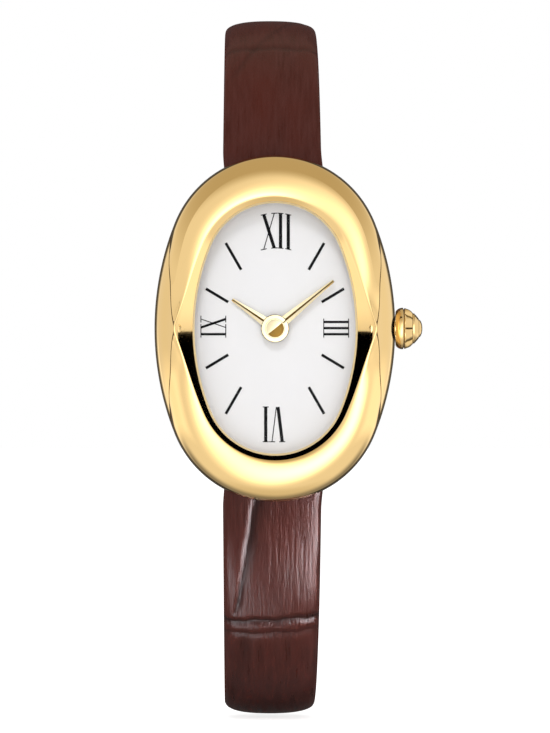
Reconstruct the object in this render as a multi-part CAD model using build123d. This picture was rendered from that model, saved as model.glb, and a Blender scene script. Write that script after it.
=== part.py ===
from build123d import *
import os
from collections import namedtuple
from math import atan2, cos, degrees, exp, hypot, pi, radians, sin, sqrt, tan

# Oval quartz wristwatch on a buckled leather strap. Sizes are in millimetres.
# It is modelled lying dial up: X towards 3 o'clock, Y towards 12 o'clock, Z out of the dial.
# Zero depth is the outside of the case back. Just before writing, the watch is stood up, 12 o'clock on top.

# Movement and the bore of the middle case that holds it
movement_half_width = 7.6
movement_half_height = 8.9
movement_round_share = 0.92
movement_thickness = 2.6
holder_side_wall = 0.75
holder_end_wall = 2.95
bore_round_share = 0.88
fit_gap = 0.03

# Depths from the case back to the crystal
back_plate = 0.5
back_gap = 0.8
dial_gap = 0.1
dial_thickness = 0.35
flange_gap = 0.05
flange_height = 0.85
crystal_lip_height = 0.65
crystal_thickness = 0.8
crystal_rise = 0.28
crystal_seat_gap = 0.05
gasket_thickness = 0.2
gasket_height = 0.5

# Dial, and the opening of the bezel over it
dial_side_ledge = 0.75
dial_end_ledge = 1.7
dial_round_share = 0.87
dial_side_cover = 0.8
dial_end_cover = 0.75
opening_round_share = 0.867
flange_overlap = 0.3
dial_hole_radius = 0.78
dial_foot_radius = 0.35
dial_foot_length = 0.7

# Outline of the case round the opening, and the swelling of the bezel
bezel_side_width = 3.77
bezel_end_width = 4.62
case_round_share = 0.895
widest_above_dial_seat = 0.0
parting_below_widest = 0.5
parting_side_rise = 3.2
parting_half_span = 10.9
parting_bow = 0.3
parting_gap = 0.03
skirt_thickness = 0.6
pocket_gap = 0.05
collar_inset = 0.1
chamfer_waist_width = 1.95
chamfer_end_width = 0.5
chamfer_slope = 40
waist_fade = 3.0
crest_leave_waist = -80
crest_leave_end = 25
crest_reach_waist = 1.3
crest_reach_end = 2.0
flank_reach_waist = 0.8
flank_reach_end = 2.2
flank_fade = 8.5
bezel_foot_tuck = 0.04
section_overlap = 0.6

# Barrel of the middle case
barrel_tuck = 0.95
shoulder_tuck = 1.55
barrel_rise_shares = (0, 0.3, 0.65, 1)
barrel_tuck_shares = (1, 0.36, 0.08, 0)
shoulder_rise_shares = (0.5, 0.78, 1)
shoulder_tuck_shares = (0.38, 0.8, 1.06)

# Case back
back_flange_side = 1.0
back_flange_end = 0.85
back_plug_height = 0.75
back_plug_wall = 0.6
back_edge_chamfer = 0.25
back_gasket_height = 0.3
back_gasket_width = 0.25
pry_notch_width = 2.4
pry_notch_depth = 0.35

# Strap attachment
strap_width_at_case = 10.0
strap_slot_gap = 0.15
slot_wall = 1.2
strap_end_radius = 1.3
strap_end_gap = 0.1
slot_roof_gap = 0.15
bar_radius = 0.75
bar_bore_gap = 0.05
bar_wall = 0.2
bar_side_gap = 0.45
tip_radius = 0.38
tip_hole_gap = 0.05
tip_reach = 0.85
tip_shank_length = 1.6
tip_shank_gap = 0.04
tip_hole_rest = 0.15
tip_travel = 0.9

# Crown, tube and stem
crown_depth = 2.6
crown_radius = 2.05
crown_lobes = 8
crown_lobe_radius_share = 0.36
crown_core_share = 0.9
crown_length = 1.75
crown_case_gap = 0.3
crown_cap_length = 0.95
crown_cap_radius_share = 0.7
crown_bore_radius = 1.32
crown_bore_depth = 1.25
crown_waist_share = 0.72
tube_outer_radius = 0.85
tube_inner_radius = 0.62
tube_stand_out = 0.9
crown_gasket_length = 0.4
crown_gasket_gap = 0.02
stem_radius = 0.45
stem_square_half = 0.24
stem_hub_end = 4.1
stem_square_end = 6.3
stem_groove_centre = 6.65
stem_groove_width = 0.5
stem_groove_radius = 0.22
stem_screw_length = 0.45
crown_travel = 0.6

# Wheels: teeth, and module of each pair
tooth_rise_share = 0.85
tooth_drop_share = 1.1
tooth_root_share = 0.32
tooth_tip_share = 0.12
train_module = 0.095
rotor_module = 0.075
motion_module = 0.125
hour_module = 0.12
centre_teeth = 48
centre_pinion_teeth = 8
intermediate_teeth = 60
rotor_pinion_teeth = 6
cannon_teeth = 12
minute_teeth = 36
minute_pinion_teeth = 10
hour_teeth = 40
setting_teeth = 16
clutch_teeth = 10
intermediate_bearing = 120
rotor_bearing = 168
minute_bearing = -60
setting_bearing = 45
wheel_thickness = 0.2
arbor_radius = 0.2
pivot_radius = 0.12
pivot_gap = 0.03
cannon_outer_radius = 0.38
cannon_bore_gap = 0.01
hour_pipe_gap = 0.03
hour_pipe_radius = 0.62
magnet_radius = 0.8
magnet_height = 0.45

# Levels inside the movement, measured from its back
bridge_thickness = 0.25
bridge_level = 0.05
intermediate_level = 0.45
centre_level = 0.8
stator_level = 0.75
stator_thickness = 0.3
plate_level = 1.2
plate_thickness = 0.6
motion_level = 1.82
hour_level = 2.12
cover_level = 2.4
cover_thickness = 0.12
rim_wall = 0.55
post_radius = 0.55

# Electrical pieces
battery_radius = 2.9
battery_thickness = 1.65
battery_level = 0.05
battery_place = (-2.9, -4.5)
battery_gap = 0.1
battery_cap_inset = 0.35
battery_cap_step = 0.2
clamp_thickness = 0.15
clamp_width = 2.0
coil_place = (-0.9, 6.6)
coil_length = 7.4
coil_radius = 0.72
coil_level = 0.9
core_half_length = 5.0
core_half_width = 0.35
stator_ring_radius = 1.35
stator_hole_gap = 0.2
stator_arm_width = 1.1
board_level = 0.15
board_thickness = 0.2
board_inset = 0.8
chip_side = 1.5
chip_height = 0.35
chip_place = (2.1, -6.2)
quartz_radius = 0.7
quartz_length = 3.8
quartz_place = (4.0, -4.4)
component_gap = 0.05

# Setting works
lever_pivot = (6.3, 2.1)
yoke_pivot = (4.2, 2.7)
lever_thickness = 0.2
lever_arm_width = 0.6
lever_pin_radius = 0.14
clutch_radius = 0.62
clutch_length = 1.0
clutch_place = 5.1
clutch_travel = 0.12
clutch_groove_width = 0.5
clutch_groove_depth = 0.17
clutch_bore_gap = 0.03
clutch_collar = 0.22

# Screws
screw_radius = 0.25
screw_head_radius = 0.5
screw_head_height = 0.15
screw_slot_width = 0.14
bridge_screw_places = ((2.4, 3.4), (-5.2, 0.6))
cover_screw_places = ((-3.2, 0.4), (2.4, 2.2))
clamp_screw_place = (-6.4, -1.6)
foot_places = ((6.2, 3.6), (-6.6, 2.4))

# Hands
minute_angle = 50.8
hour_angle = 304.1
minute_hand_length = 7.6
hour_hand_length = 5.2
hand_root_width = 1.15
hand_tip_width = 0.12
hand_blade_thickness = 0.08
hand_ridge_height = 0.13
hand_hub_radius = 1.3
hand_hub_height = 0.14
hour_hand_above_dial = 0.2
minute_hand_above_hour_hand = 0.12
hub_dome_radius = 0.95
hub_dome_height = 0.08
hub_tip_margin = 0.04

# Strap halves, from the lug bars round to the buckle and the tip
strap_width_at_buckle = 8.0
strap_thickness_at_case = 2.4
strap_thickness_at_buckle = 2.0
tail_thickness = 1.7
lining_thickness = 0.5
glue_gap = 0.03
strap_side_share = 0.36
strap_corner_radius = 1.15
strap_crown_rise = 0.16
upper_lean = 12
upper_rise_radius = 20.2
upper_back_radius = 19.0
upper_straight = 13.6
lower_lean = 8
lower_rise_radius = 28.0
tail_gap = 0.35
tail_straight = 41.0
lining_start = 3.4
tail_hole_count = 7
tail_hole_pitch = 5.2
tail_hole_length = 2.9
tail_hole_width = 1.5
slices_per_arc = 6

# Buckle and keepers
buckle_bar_radius = 0.62
buckle_end_radius = 1.1
buckle_side_gap = 0.25
buckle_wire_radius = 0.55
buckle_reach = 8.6
buckle_corner_radius = 1.8
buckle_tail_gap = 0.35
buckle_boss_radius = 0.95
tongue_width = 1.2
tongue_thickness = 0.7
tongue_slot_gap = 0.2
tongue_ring_radius = 1.0
tongue_bend_radius = 1.2
tongue_rest_gap = 0.06
tongue_hole_gap = 0.3
tongue_overhang = 1.0
keeper_width = 3.0
keeper_wall = 0.7
keeper_gap = 0.18
fixed_keeper_above_bar = 4.4
sliding_keeper_above_bar = 10.6
cutter_overrun = 1.0

Oval = namedtuple("Oval", "half_width half_height end_radius")


# Working sizes that follow from the ones above
z_movement = back_plate + back_gap
z_dial_seat = z_movement + movement_thickness + dial_gap
z_dial = z_dial_seat + dial_thickness
z_flange = z_dial + flange_gap
z_crystal_seat = z_flange + flange_height
z_lip = z_crystal_seat + crystal_lip_height
z_crystal = z_crystal_seat + crystal_seat_gap
z_widest = z_dial_seat + widest_above_dial_seat
z_parting = z_widest - parting_below_widest
z_parting_peak = z_parting + parting_side_rise

bore = Oval(
    movement_half_width + holder_side_wall,
    movement_half_height + holder_end_wall,
    (movement_half_width + holder_side_wall) * bore_round_share,
)
movement = Oval(movement_half_width, movement_half_height, movement_half_width * movement_round_share)
dial_oval = Oval(
    bore.half_width + dial_side_ledge,
    bore.half_height + dial_end_ledge,
    (bore.half_width + dial_side_ledge) * dial_round_share,
)
opening = Oval(
    dial_oval.half_width - dial_side_cover,
    dial_oval.half_height - dial_end_cover,
    (dial_oval.half_width - dial_side_cover) * opening_round_share,
)
outline = Oval(
    opening.half_width + bezel_side_width,
    opening.half_height + bezel_end_width,
    (opening.half_width + bezel_side_width) * case_round_share,
)

slot_half_width = strap_width_at_case / 2 + strap_slot_gap
slot_inner = bore.half_height + slot_wall
bar_y = slot_inner + strap_end_gap + strap_end_radius
bar_z = z_parting - slot_roof_gap * 2 - strap_end_gap - strap_end_radius - slot_roof_gap

# Centres of the wheels
def bearing_point(origin, distance, bearing):
    return (origin[0] + distance * cos(radians(bearing)), origin[1] + distance * sin(radians(bearing)))


centre_axis = (0, 0)
intermediate_axis = bearing_point(
    centre_axis, train_module * (centre_teeth + centre_pinion_teeth) / 2, intermediate_bearing
)
rotor_axis = bearing_point(
    intermediate_axis, rotor_module * (intermediate_teeth + rotor_pinion_teeth) / 2, rotor_bearing
)
minute_axis = bearing_point(centre_axis, motion_module * (cannon_teeth + minute_teeth) / 2, minute_bearing)
setting_axis = bearing_point(minute_axis, motion_module * (minute_teeth + setting_teeth) / 2, setting_bearing)


# Ovals of four tangent arcs
def grown(oval, by):
    return Oval(*(size + by for size in oval))


def side_radius(oval):
    a, b, r = oval
    return (a * a + (b - r) ** 2 - r * r) / (2 * (a - r))


def arc_change(oval):
    """The angle at which the side arc passes into the end arc."""
    return atan2(oval.half_height - oval.end_radius, side_radius(oval) - oval.half_width)


def oval_face(oval, z=0):
    a, b, _ = oval
    side = side_radius(oval)
    turn = arc_change(oval)
    x, y = a - side + side * cos(turn), side * sin(turn)
    arcs = [
        ThreePointArc((x, -y), (a, 0), (x, y)),
        ThreePointArc((x, y), (0, b), (-x, y)),
        ThreePointArc((-x, y), (-a, 0), (-x, -y)),
        ThreePointArc((-x, -y), (0, -b), (x, -y)),
    ]
    return Pos(0, 0, z) * make_face(arcs)


def prism(face, low, high):
    """A flat face carried from one depth to another."""
    return extrude(Pos(0, 0, low) * face, high - low, dir=(0, 0, 1))


def oval_prism(oval, low, high):
    return prism(oval_face(oval), low, high)


def disc(place, radius, low, high):
    return prism(Pos(place[0], place[1]) * Circle(radius), low, high)


def rod(radius, start, end, y, z):
    """A round bar along X."""
    return Pos(start, y, z) * Rot(0, 90, 0) * extrude(Circle(radius), end - start)


# The parting surface between bezel and middle case: flat at the ends, rising to a point at each side
def below_parting(raise_by=0.0):
    low = z_parting + raise_by
    peak = z_parting_peak + raise_by
    middle = (parting_half_span / 2, (low + peak) / 2 + parting_bow)
    far = outline.half_height + cutter_overrun
    floor = -cutter_overrun
    line = [
        Line((-far, floor), (far, floor)),
        Line((far, floor), (far, low)),
        Line((far, low), (parting_half_span, low)),
        ThreePointArc((parting_half_span, low), middle, (0, peak)),
        ThreePointArc((0, peak), (-middle[0], middle[1]), (-parting_half_span, low)),
        Line((-parting_half_span, low), (-far, low)),
        Line((-far, low), (-far, floor)),
    ]
    side_plane = Plane(origin=(0, 0, 0), x_dir=(0, 1, 0), z_dir=(1, 0, 0))
    reach = outline.half_width + cutter_overrun
    return extrude(side_plane * make_face(line), reach, both=True)


# Bezel
def opening_point(angle):
    """The point of the dial opening whose outward direction has this angle, from side to end."""
    a, b, r = opening
    side = side_radius(opening)
    if angle < arc_change(opening):
        return (a - side + side * cos(angle), side * sin(angle))
    return (r * cos(angle), b - r + r * sin(angle))


def reach_to(oval, point, direction):
    """How far the oval is from a point inside it, in a direction."""
    a, b, r = oval
    side = side_radius(oval)
    found = 0
    for x, y, radius in ((a - side, 0, side), (0, b - r, r)):
        dx, dy = point[0] - x, point[1] - y
        along = dx * direction[0] + dy * direction[1]
        found = -along + sqrt(along**2 - (dx**2 + dy**2 - radius**2))
        hit = (point[0] + found * direction[0], point[1] + found * direction[1])
        if atan2(hit[1], hit[0] - (a - side)) <= arc_change(oval):
            break
    return found


def bezel_section(angle):
    """One slice of the bezel, square to the edge of the opening."""
    direction = (cos(angle), sin(angle))
    point = opening_point(angle)
    width = reach_to(outline, point, direction)
    waist = exp(-point[1] / waist_fade)
    chamfer = chamfer_end_width + (chamfer_waist_width - chamfer_end_width) * waist
    leave = radians(crest_leave_end + (crest_leave_waist - crest_leave_end) * waist)
    crest_reach = crest_reach_end + (crest_reach_waist - crest_reach_end) * waist
    flank_fading = exp(-((point[1] / flank_fade) ** 2))
    flank_reach = flank_reach_end + (flank_reach_waist - flank_reach_end) * flank_fading
    slope = tan(radians(chamfer_slope))
    ridge = (chamfer, z_lip + chamfer * slope)
    swell = (ridge[0] + crest_reach * cos(leave), ridge[1] + crest_reach * sin(leave))
    edge = (width, z_widest)
    foot = (width - bezel_foot_tuck, z_parting)
    inner_foot = (-section_overlap, z_parting)
    inner_top = (-section_overlap, z_lip - section_overlap * slope)
    line = [
        Line(inner_top, ridge),
        Bezier(ridge, swell, (width, z_widest + flank_reach), edge),
        Line(edge, foot),
        Line(foot, inner_foot),
        Line(inner_foot, inner_top),
    ]
    place = Plane(
        origin=(point[0], point[1], 0),
        x_dir=(direction[0], direction[1], 0),
        z_dir=(direction[1], -direction[0], 0),
    )
    return place * make_face(line)


section_angle_shares = (0, 0.03, 0.07, 0.12, 0.18, 0.25, 0.4, 0.6, 0.8, 1, 1.15)


def bezel_quarter():
    """A quarter of the ring from the right side up to 12 o'clock, cut flat at the middle."""
    slices = []
    for share in section_angle_shares:
        if share <= 1:
            slices.append(bezel_section(share * pi / 2))
        else:
            slices.append(mirror(bezel_section((2 - share) * pi / 2), Plane.YZ))
    ring = loft(slices)
    reach = outline.half_height + cutter_overrun
    keep = Pos(reach / 2, reach / 2, z_lip) * Box(reach, reach, 2 * reach)
    return ring & keep


def make_bezel():
    quarter = bezel_quarter()
    half = quarter + mirror(quarter, Plane.XZ)
    ring = half + mirror(half, Plane.YZ)
    core = oval_prism(grown(dial_oval, skirt_thickness), -2 * cutter_overrun, z_lip + cutter_overrun)
    top = z_parting_peak + bezel_end_width
    ring -= below_parting(parting_gap) - core
    ring -= oval_prism(grown(dial_oval, pocket_gap), z_parting - cutter_overrun, z_flange)
    ring -= oval_prism(opening, z_crystal_seat, top)
    ring -= oval_prism(grown(opening, -flange_overlap), z_parting - cutter_overrun, top)
    return ring


def make_crystal():
    glass = grown(opening, -gasket_thickness)
    top = z_crystal + crystal_thickness
    ball_radius = (glass.half_height**2 + crystal_rise**2) / (2 * crystal_rise)
    ball = Pos(0, 0, top - ball_radius) * Sphere(ball_radius)
    return oval_prism(glass, z_crystal, top) & ball


def make_crystal_gasket():
    low = z_crystal_seat
    ring = oval_prism(opening, low, low + gasket_height)
    return ring - oval_prism(grown(opening, -gasket_thickness), low - cutter_overrun, z_lip)


# Middle case
def make_barrel():
    levels = []
    for rise, tuck in zip(barrel_rise_shares, barrel_tuck_shares):
        depth = back_plate + (z_widest - back_plate) * rise
        levels.append(oval_face(grown(outline, -barrel_tuck * tuck), depth))
    for rise, tuck in zip(shoulder_rise_shares, shoulder_tuck_shares):
        depth = z_widest + (z_parting_peak + parting_gap - z_widest) * rise
        levels.append(oval_face(grown(outline, -shoulder_tuck * tuck), depth))
    return loft(levels)


def strap_slot(side):
    """The recess for a strap end, open at the back and at the end of the case."""
    length = outline.half_height - slot_inner + cutter_overrun
    height = bar_z + strap_end_radius + strap_end_gap + slot_roof_gap + cutter_overrun
    middle = side * (slot_inner + length / 2)
    return Pos(0, middle, height / 2 - cutter_overrun) * Box(2 * slot_half_width, length, height)


def make_middle_case():
    body = make_barrel() & below_parting()
    core = grown(dial_oval, skirt_thickness + fit_gap)
    body -= oval_prism(core, z_parting, z_parting_peak + cutter_overrun)
    body += oval_prism(grown(dial_oval, -collar_inset), z_parting - parting_below_widest, z_dial_seat)
    body -= oval_prism(bore, -cutter_overrun, z_dial_seat + cutter_overrun)
    hole_radius = tip_radius + tip_hole_gap
    hole_reach = slot_half_width + tip_reach + tip_hole_rest
    for side in (1, -1):
        body -= strap_slot(side)
        body -= rod(hole_radius, -hole_reach, hole_reach, side * bar_y, bar_z)
    body -= rod(tube_outer_radius, 0, outline.half_width + cutter_overrun, 0, crown_depth)
    return body


def make_case_back():
    rim = Oval(
        bore.half_width + back_flange_side,
        bore.half_height + back_flange_end,
        (bore.half_width + back_flange_side) * case_round_share,
    )
    plate = oval_prism(rim, 0, back_plate)
    plate = chamfer(plate.edges().group_by(Axis.Z)[0], back_edge_chamfer)
    plug = oval_prism(grown(bore, -fit_gap), back_plate, back_plate + back_plug_height)
    plug -= oval_prism(grown(bore, -fit_gap - back_plug_wall), back_plate, z_movement)
    groove_low = back_plate + back_gasket_height
    groove = oval_prism(grown(bore, fit_gap), groove_low - back_gasket_height / 2, groove_low + back_gasket_height / 2)
    groove -= oval_prism(grown(bore, -back_gasket_width), 0, z_movement)
    notch = Pos(0, -rim.half_height, back_plate) * Box(pry_notch_width, 2 * pry_notch_depth, back_plate)
    return plate + (plug - groove) - notch


def make_case_back_gasket():
    middle = back_plate + back_gasket_height
    low, high = middle - back_gasket_height / 2 + fit_gap / 2, middle + back_gasket_height / 2 - fit_gap / 2
    ring = oval_prism(grown(bore, -fit_gap / 2), low, high)
    return ring - oval_prism(grown(bore, fit_gap - back_gasket_width), 0, z_movement)


# Crown, stem and tube
case_side_at_crown = outline.half_width - barrel_tuck * barrel_tuck_shares[2]
crown_start = case_side_at_crown + crown_case_gap
crown_end = crown_start + crown_length
stem_end = crown_start + crown_bore_depth + stem_screw_length


def make_crown_tube():
    end = crown_start + tube_stand_out
    start = bore.half_width + fit_gap
    return rod(tube_outer_radius, start, end, 0, crown_depth) - rod(
        tube_inner_radius, start - cutter_overrun, end + cutter_overrun, 0, crown_depth
    )


def along_stem(profile):
    """A turned piece: the profile is drawn as distance along the stem and radius."""
    turned = revolve(profile, Axis.X)
    return Pos(0, 0, crown_depth) * turned


def make_crown():
    """Round lobes on a barrel core, hollow where it slides over the tube."""
    core = crown_radius * crown_core_share
    waist = crown_radius * crown_waist_share
    middle = (crown_start + crown_end) / 2
    cap = crown_radius * crown_cap_radius_share
    profile = make_face(
        [
            Line((crown_start, 0), (crown_start, waist)),
            ThreePointArc((crown_start, waist), (middle, core), (crown_end, cap)),
            Line((crown_end, cap), (crown_end, 0)),
            Line((crown_end, 0), (crown_start, 0)),
        ]
    )
    body = along_stem(profile)
    lobe = crown_radius * crown_lobe_radius_share
    lobe_centre = crown_radius - lobe
    limit = along_stem(
        make_face(
            [
                Line((crown_start, 0), (crown_start, waist)),
                ThreePointArc((crown_start, waist), (middle, crown_radius), (crown_end, cap)),
                Line((crown_end, cap), (crown_end, 0)),
                Line((crown_end, 0), (crown_start, 0)),
            ]
        )
    )
    lobes = [
        rod(
            lobe,
            crown_start,
            crown_end,
            lobe_centre * cos(2 * pi * (n + 1 / 2) / crown_lobes),
            crown_depth + lobe_centre * sin(2 * pi * (n + 1 / 2) / crown_lobes),
        )
        for n in range(crown_lobes)
    ]
    slim = crown_radius * crown_core_share**2
    body &= rod(slim, crown_start, crown_end, 0, crown_depth)
    for one in lobes:
        body += one
    body &= limit
    body -= rod(crown_bore_radius, crown_start - cutter_overrun, crown_start + crown_bore_depth, 0, crown_depth)
    return body - rod(stem_radius, 0, stem_end, 0, crown_depth)


def make_crown_cap():
    """The smooth domed button on the end of the crown."""
    radius = crown_radius * crown_cap_radius_share - fit_gap
    end = crown_end + crown_cap_length
    shoulder = (crown_end + crown_cap_length / 2, radius * crown_core_share)
    profile = make_face(
        [
            Line((crown_end, 0), (crown_end, radius)),
            Bezier((crown_end, radius), shoulder, (end, radius / 2), (end, 0)),
            Line((end, 0), (crown_end, 0)),
        ]
    )
    return along_stem(profile)


def make_crown_gasket():
    start = crown_start + tube_stand_out - crown_gasket_length
    inner = tube_outer_radius + crown_gasket_gap
    outer = crown_bore_radius - crown_gasket_gap
    return rod(outer, start, start + crown_gasket_length, 0, crown_depth) - rod(
        inner, 0, crown_end, 0, crown_depth
    )


def make_stem():
    shaft = rod(stem_radius, stem_square_end, stem_end, 0, crown_depth)
    groove_start = stem_groove_centre - stem_groove_width / 2
    groove = rod(stem_radius + fit_gap, groove_start, groove_start + stem_groove_width, 0, crown_depth)
    groove -= rod(stem_groove_radius, 0, stem_end, 0, crown_depth)
    length = stem_square_end - stem_hub_end
    square = Pos(stem_hub_end + length / 2, 0, crown_depth) * Box(
        length, 2 * stem_square_half, 2 * stem_square_half
    )
    return shaft - groove + square


# Toothed wheels
def toothed_face(teeth, module, phase=0.0):
    """A wheel's outline, one tooth pointing at the phase angle, in degrees."""
    pitch_radius = teeth * module / 2
    tip = pitch_radius + tooth_rise_share * module
    root = pitch_radius - tooth_drop_share * module
    step = 2 * pi / teeth
    points = []
    for n in range(teeth):
        at = radians(phase) + n * step
        for turn, radius in (
            (-tooth_root_share, root),
            (-tooth_tip_share, tip),
            (tooth_tip_share, tip),
            (tooth_root_share, root),
        ):
            points.append((radius * cos(at + turn * step), radius * sin(at + turn * step)))
    return make_face(Polyline(*points, close=True))


def meshed_phase(phase, teeth, axis, other_teeth, other_axis):
    """The phase that puts the other wheel's gaps where this wheel's teeth are."""
    bearing = degrees(atan2(other_axis[1] - axis[1], other_axis[0] - axis[0]))
    offset = (phase - bearing) * teeth / 360
    return bearing + 180 - (offset + 1 / 2) * 360 / other_teeth


def wheel(axis, teeth, module, phase, low, thickness):
    face = toothed_face(teeth, module, phase)
    return prism(Pos(axis[0], axis[1]) * face, low, low + thickness)


z_plate = z_movement + plate_level
z_motion = z_movement + motion_level
z_hour = z_movement + hour_level
z_centre = z_movement + centre_level
z_intermediate = z_movement + intermediate_level
z_cover = z_movement + cover_level
z_pivot = z_movement + bridge_level + bridge_thickness / 2
quartz_level = z_movement + board_level + board_thickness + quartz_radius + component_gap
z_hour_hand = z_dial + hour_hand_above_dial
hand_stack = hand_hub_height + hand_ridge_height
z_minute_hand = z_hour_hand + hand_stack + minute_hand_above_hour_hand

pinion_phase = meshed_phase(0, centre_teeth, centre_axis, centre_pinion_teeth, intermediate_axis)
rotor_phase = meshed_phase(0, intermediate_teeth, intermediate_axis, rotor_pinion_teeth, rotor_axis)
minute_phase = meshed_phase(0, cannon_teeth, centre_axis, minute_teeth, minute_axis)
hour_phase = meshed_phase(0, minute_pinion_teeth, minute_axis, hour_teeth, centre_axis)
setting_phase = meshed_phase(minute_phase, minute_teeth, minute_axis, setting_teeth, setting_axis)


def make_centre_wheel():
    body = wheel(centre_axis, centre_teeth, train_module, 0, z_centre, wheel_thickness)
    body += disc(centre_axis, arbor_radius, z_centre, z_hour + wheel_thickness)
    return body + disc(centre_axis, pivot_radius, z_pivot, z_centre)


def make_cannon_pinion():
    top = z_minute_hand + hand_hub_height - hub_tip_margin
    body = wheel(centre_axis, cannon_teeth, motion_module, 0, z_motion, z_hour - z_motion - pivot_gap)
    body += disc(centre_axis, cannon_outer_radius, z_motion, top)
    return body - disc(centre_axis, arbor_radius + cannon_bore_gap, z_plate, z_hour + wheel_thickness + cannon_bore_gap)


def make_intermediate_wheel():
    axis = intermediate_axis
    body = wheel(axis, intermediate_teeth, rotor_module, 0, z_intermediate, wheel_thickness)
    start = z_intermediate + wheel_thickness
    body += wheel(axis, centre_pinion_teeth, train_module, pinion_phase, start, z_plate - pivot_gap - start)
    return body + disc(axis, pivot_radius, z_pivot, z_plate + plate_thickness / 2)


def make_rotor():
    magnet_low = z_intermediate + wheel_thickness + pivot_gap
    body = disc(rotor_axis, magnet_radius, magnet_low, magnet_low + magnet_height)
    pinion_low = z_intermediate - pivot_gap
    body += wheel(
        rotor_axis, rotor_pinion_teeth, rotor_module, rotor_phase, pinion_low, magnet_low - pinion_low
    )
    return body + disc(rotor_axis, pivot_radius, z_pivot, z_plate + plate_thickness / 2)


def make_minute_wheel():
    body = wheel(minute_axis, minute_teeth, motion_module, minute_phase, z_motion, wheel_thickness)
    body += wheel(
        minute_axis, minute_pinion_teeth, hour_module, 0, z_motion, z_hour + wheel_thickness - z_motion
    )
    return body - disc(minute_axis, pivot_radius + pivot_gap, z_plate, z_cover)


def make_hour_wheel():
    body = wheel(centre_axis, hour_teeth, hour_module, hour_phase, z_hour, wheel_thickness)
    top = z_hour_hand + hand_hub_height
    body += disc(centre_axis, hour_pipe_radius, z_hour, top)
    return body - disc(centre_axis, cannon_outer_radius + hour_pipe_gap, z_plate, z_crystal)


def make_setting_wheel():
    body = wheel(setting_axis, setting_teeth, motion_module, setting_phase, z_motion, wheel_thickness)
    return body - disc(setting_axis, pivot_radius + pivot_gap, z_plate, z_cover)


# Movement plate, bridges and electrical pieces
def bar_between(start, end, width, low, high):
    """A flat strip from one point to another."""
    length = hypot(end[0] - start[0], end[1] - start[1])
    turn = degrees(atan2(end[1] - start[1], end[0] - start[0]))
    middle = ((start[0] + end[0]) / 2, (start[1] + end[1]) / 2)
    return prism(Pos(*middle) * Rot(0, 0, turn) * Rectangle(length, width), low, high)


def screw(place, head_level, tip_level):
    """A slotted screw. The head is at the head level, whichever side of the tip that is."""
    side = 1 if head_level > tip_level else -1
    low, high = sorted((head_level, head_level - side * screw_head_height))
    body = disc(place, screw_head_radius, low, high)
    body += disc(place, screw_radius, *sorted((head_level - side * screw_head_height, tip_level)))
    slot = Pos(place[0], place[1], head_level) * Box(
        3 * screw_head_radius, screw_slot_width, screw_head_height
    )
    return body - slot


def post(place, low, high):
    return disc(place, post_radius, low, high)


def make_main_plate():
    """Moulded plate with a rim round the movement, pockets for the pieces and posts for the screws."""
    low, high = z_plate, z_plate + plate_thickness
    rim_top = z_movement + movement_thickness
    body = oval_prism(movement, low, high)
    rim = oval_prism(movement, z_movement, rim_top) - oval_prism(
        grown(movement, -rim_wall), z_movement - cutter_overrun, rim_top + cutter_overrun
    )
    body += rim
    for place in bridge_screw_places:
        body += post(place, z_movement + bridge_level + bridge_thickness, high)
    for place in cover_screw_places:
        body += post(place, low, z_cover)
    for place in foot_places:
        body += post(place, low, rim_top)
    body += disc(minute_axis, pivot_radius, high, z_cover - pivot_gap)
    body += disc(setting_axis, pivot_radius, high, z_cover - pivot_gap)
    body -= disc(battery_place, battery_radius + battery_gap, z_movement - cutter_overrun, high)
    gap = component_gap
    coil_half = coil_length / 2 + gap
    body -= Pos(coil_place[0], coil_place[1], z_movement + coil_level) * Box(
        2 * coil_half, 2 * (coil_radius + gap), 2 * (coil_radius + gap)
    )
    body -= Pos(quartz_place[0], quartz_place[1], quartz_level) * Box(
        2 * (quartz_radius + gap), quartz_length + 2 * gap, 2 * (quartz_radius + gap)
    )
    body -= coil_core_box(gap)
    for axis, radius in (
        (centre_axis, arbor_radius + pivot_gap),
        (intermediate_axis, pivot_radius + pivot_gap),
        (rotor_axis, pivot_radius + pivot_gap),
    ):
        body -= disc(axis, radius, z_movement - cutter_overrun, high + cutter_overrun)
    channel = clutch_radius + clutch_collar
    start = stem_hub_end - clutch_collar
    length = movement.half_width + cutter_overrun - start
    body -= Pos(start + length / 2, 0, crown_depth) * Box(length, 2 * channel, 2 * channel)
    pocket = 2 * lever_pivot[1] / 3
    body -= Pos(lever_pivot[0], lever_pivot[1] - pocket / 2, rim_top) * Box(
        2 * (stem_groove_centre - lever_pivot[0] + lever_arm_width), 2 * pocket, 2 * (rim_top - high)
    )
    for place in bridge_screw_places:
        body -= disc(place, screw_radius + pivot_gap, z_movement, high - fit_gap)
    for place in cover_screw_places:
        body -= disc(place, screw_radius + pivot_gap, z_plate, rim_top)
    for place in foot_places:
        body -= disc(place, dial_foot_radius + fit_gap, z_dial_seat - dial_foot_length - fit_gap, z_dial_seat)
    for place in (lever_pivot, yoke_pivot):
        body -= disc(place, pivot_radius + pivot_gap, z_plate, rim_top)
    return body


def make_train_bridge():
    """The plate over the back of the wheels, on two posts."""
    low = z_movement + bridge_level
    high = low + bridge_thickness
    first, second = bridge_screw_places
    width = 2 * post_radius
    body = bar_between(first, intermediate_axis, width, low, high)
    body += bar_between(intermediate_axis, rotor_axis, width, low, high)
    body += bar_between(rotor_axis, second, width, low, high)
    body += bar_between(intermediate_axis, centre_axis, width, low, high)
    for place in (first, second, intermediate_axis, rotor_axis, centre_axis):
        body += post(place, low, high)
    for place in (first, second):
        body -= disc(place, screw_radius + pivot_gap, low - cutter_overrun, high + cutter_overrun)
    for place in (intermediate_axis, rotor_axis, centre_axis):
        body -= disc(place, pivot_radius + pivot_gap, low - cutter_overrun, high + cutter_overrun)
    return body


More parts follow.
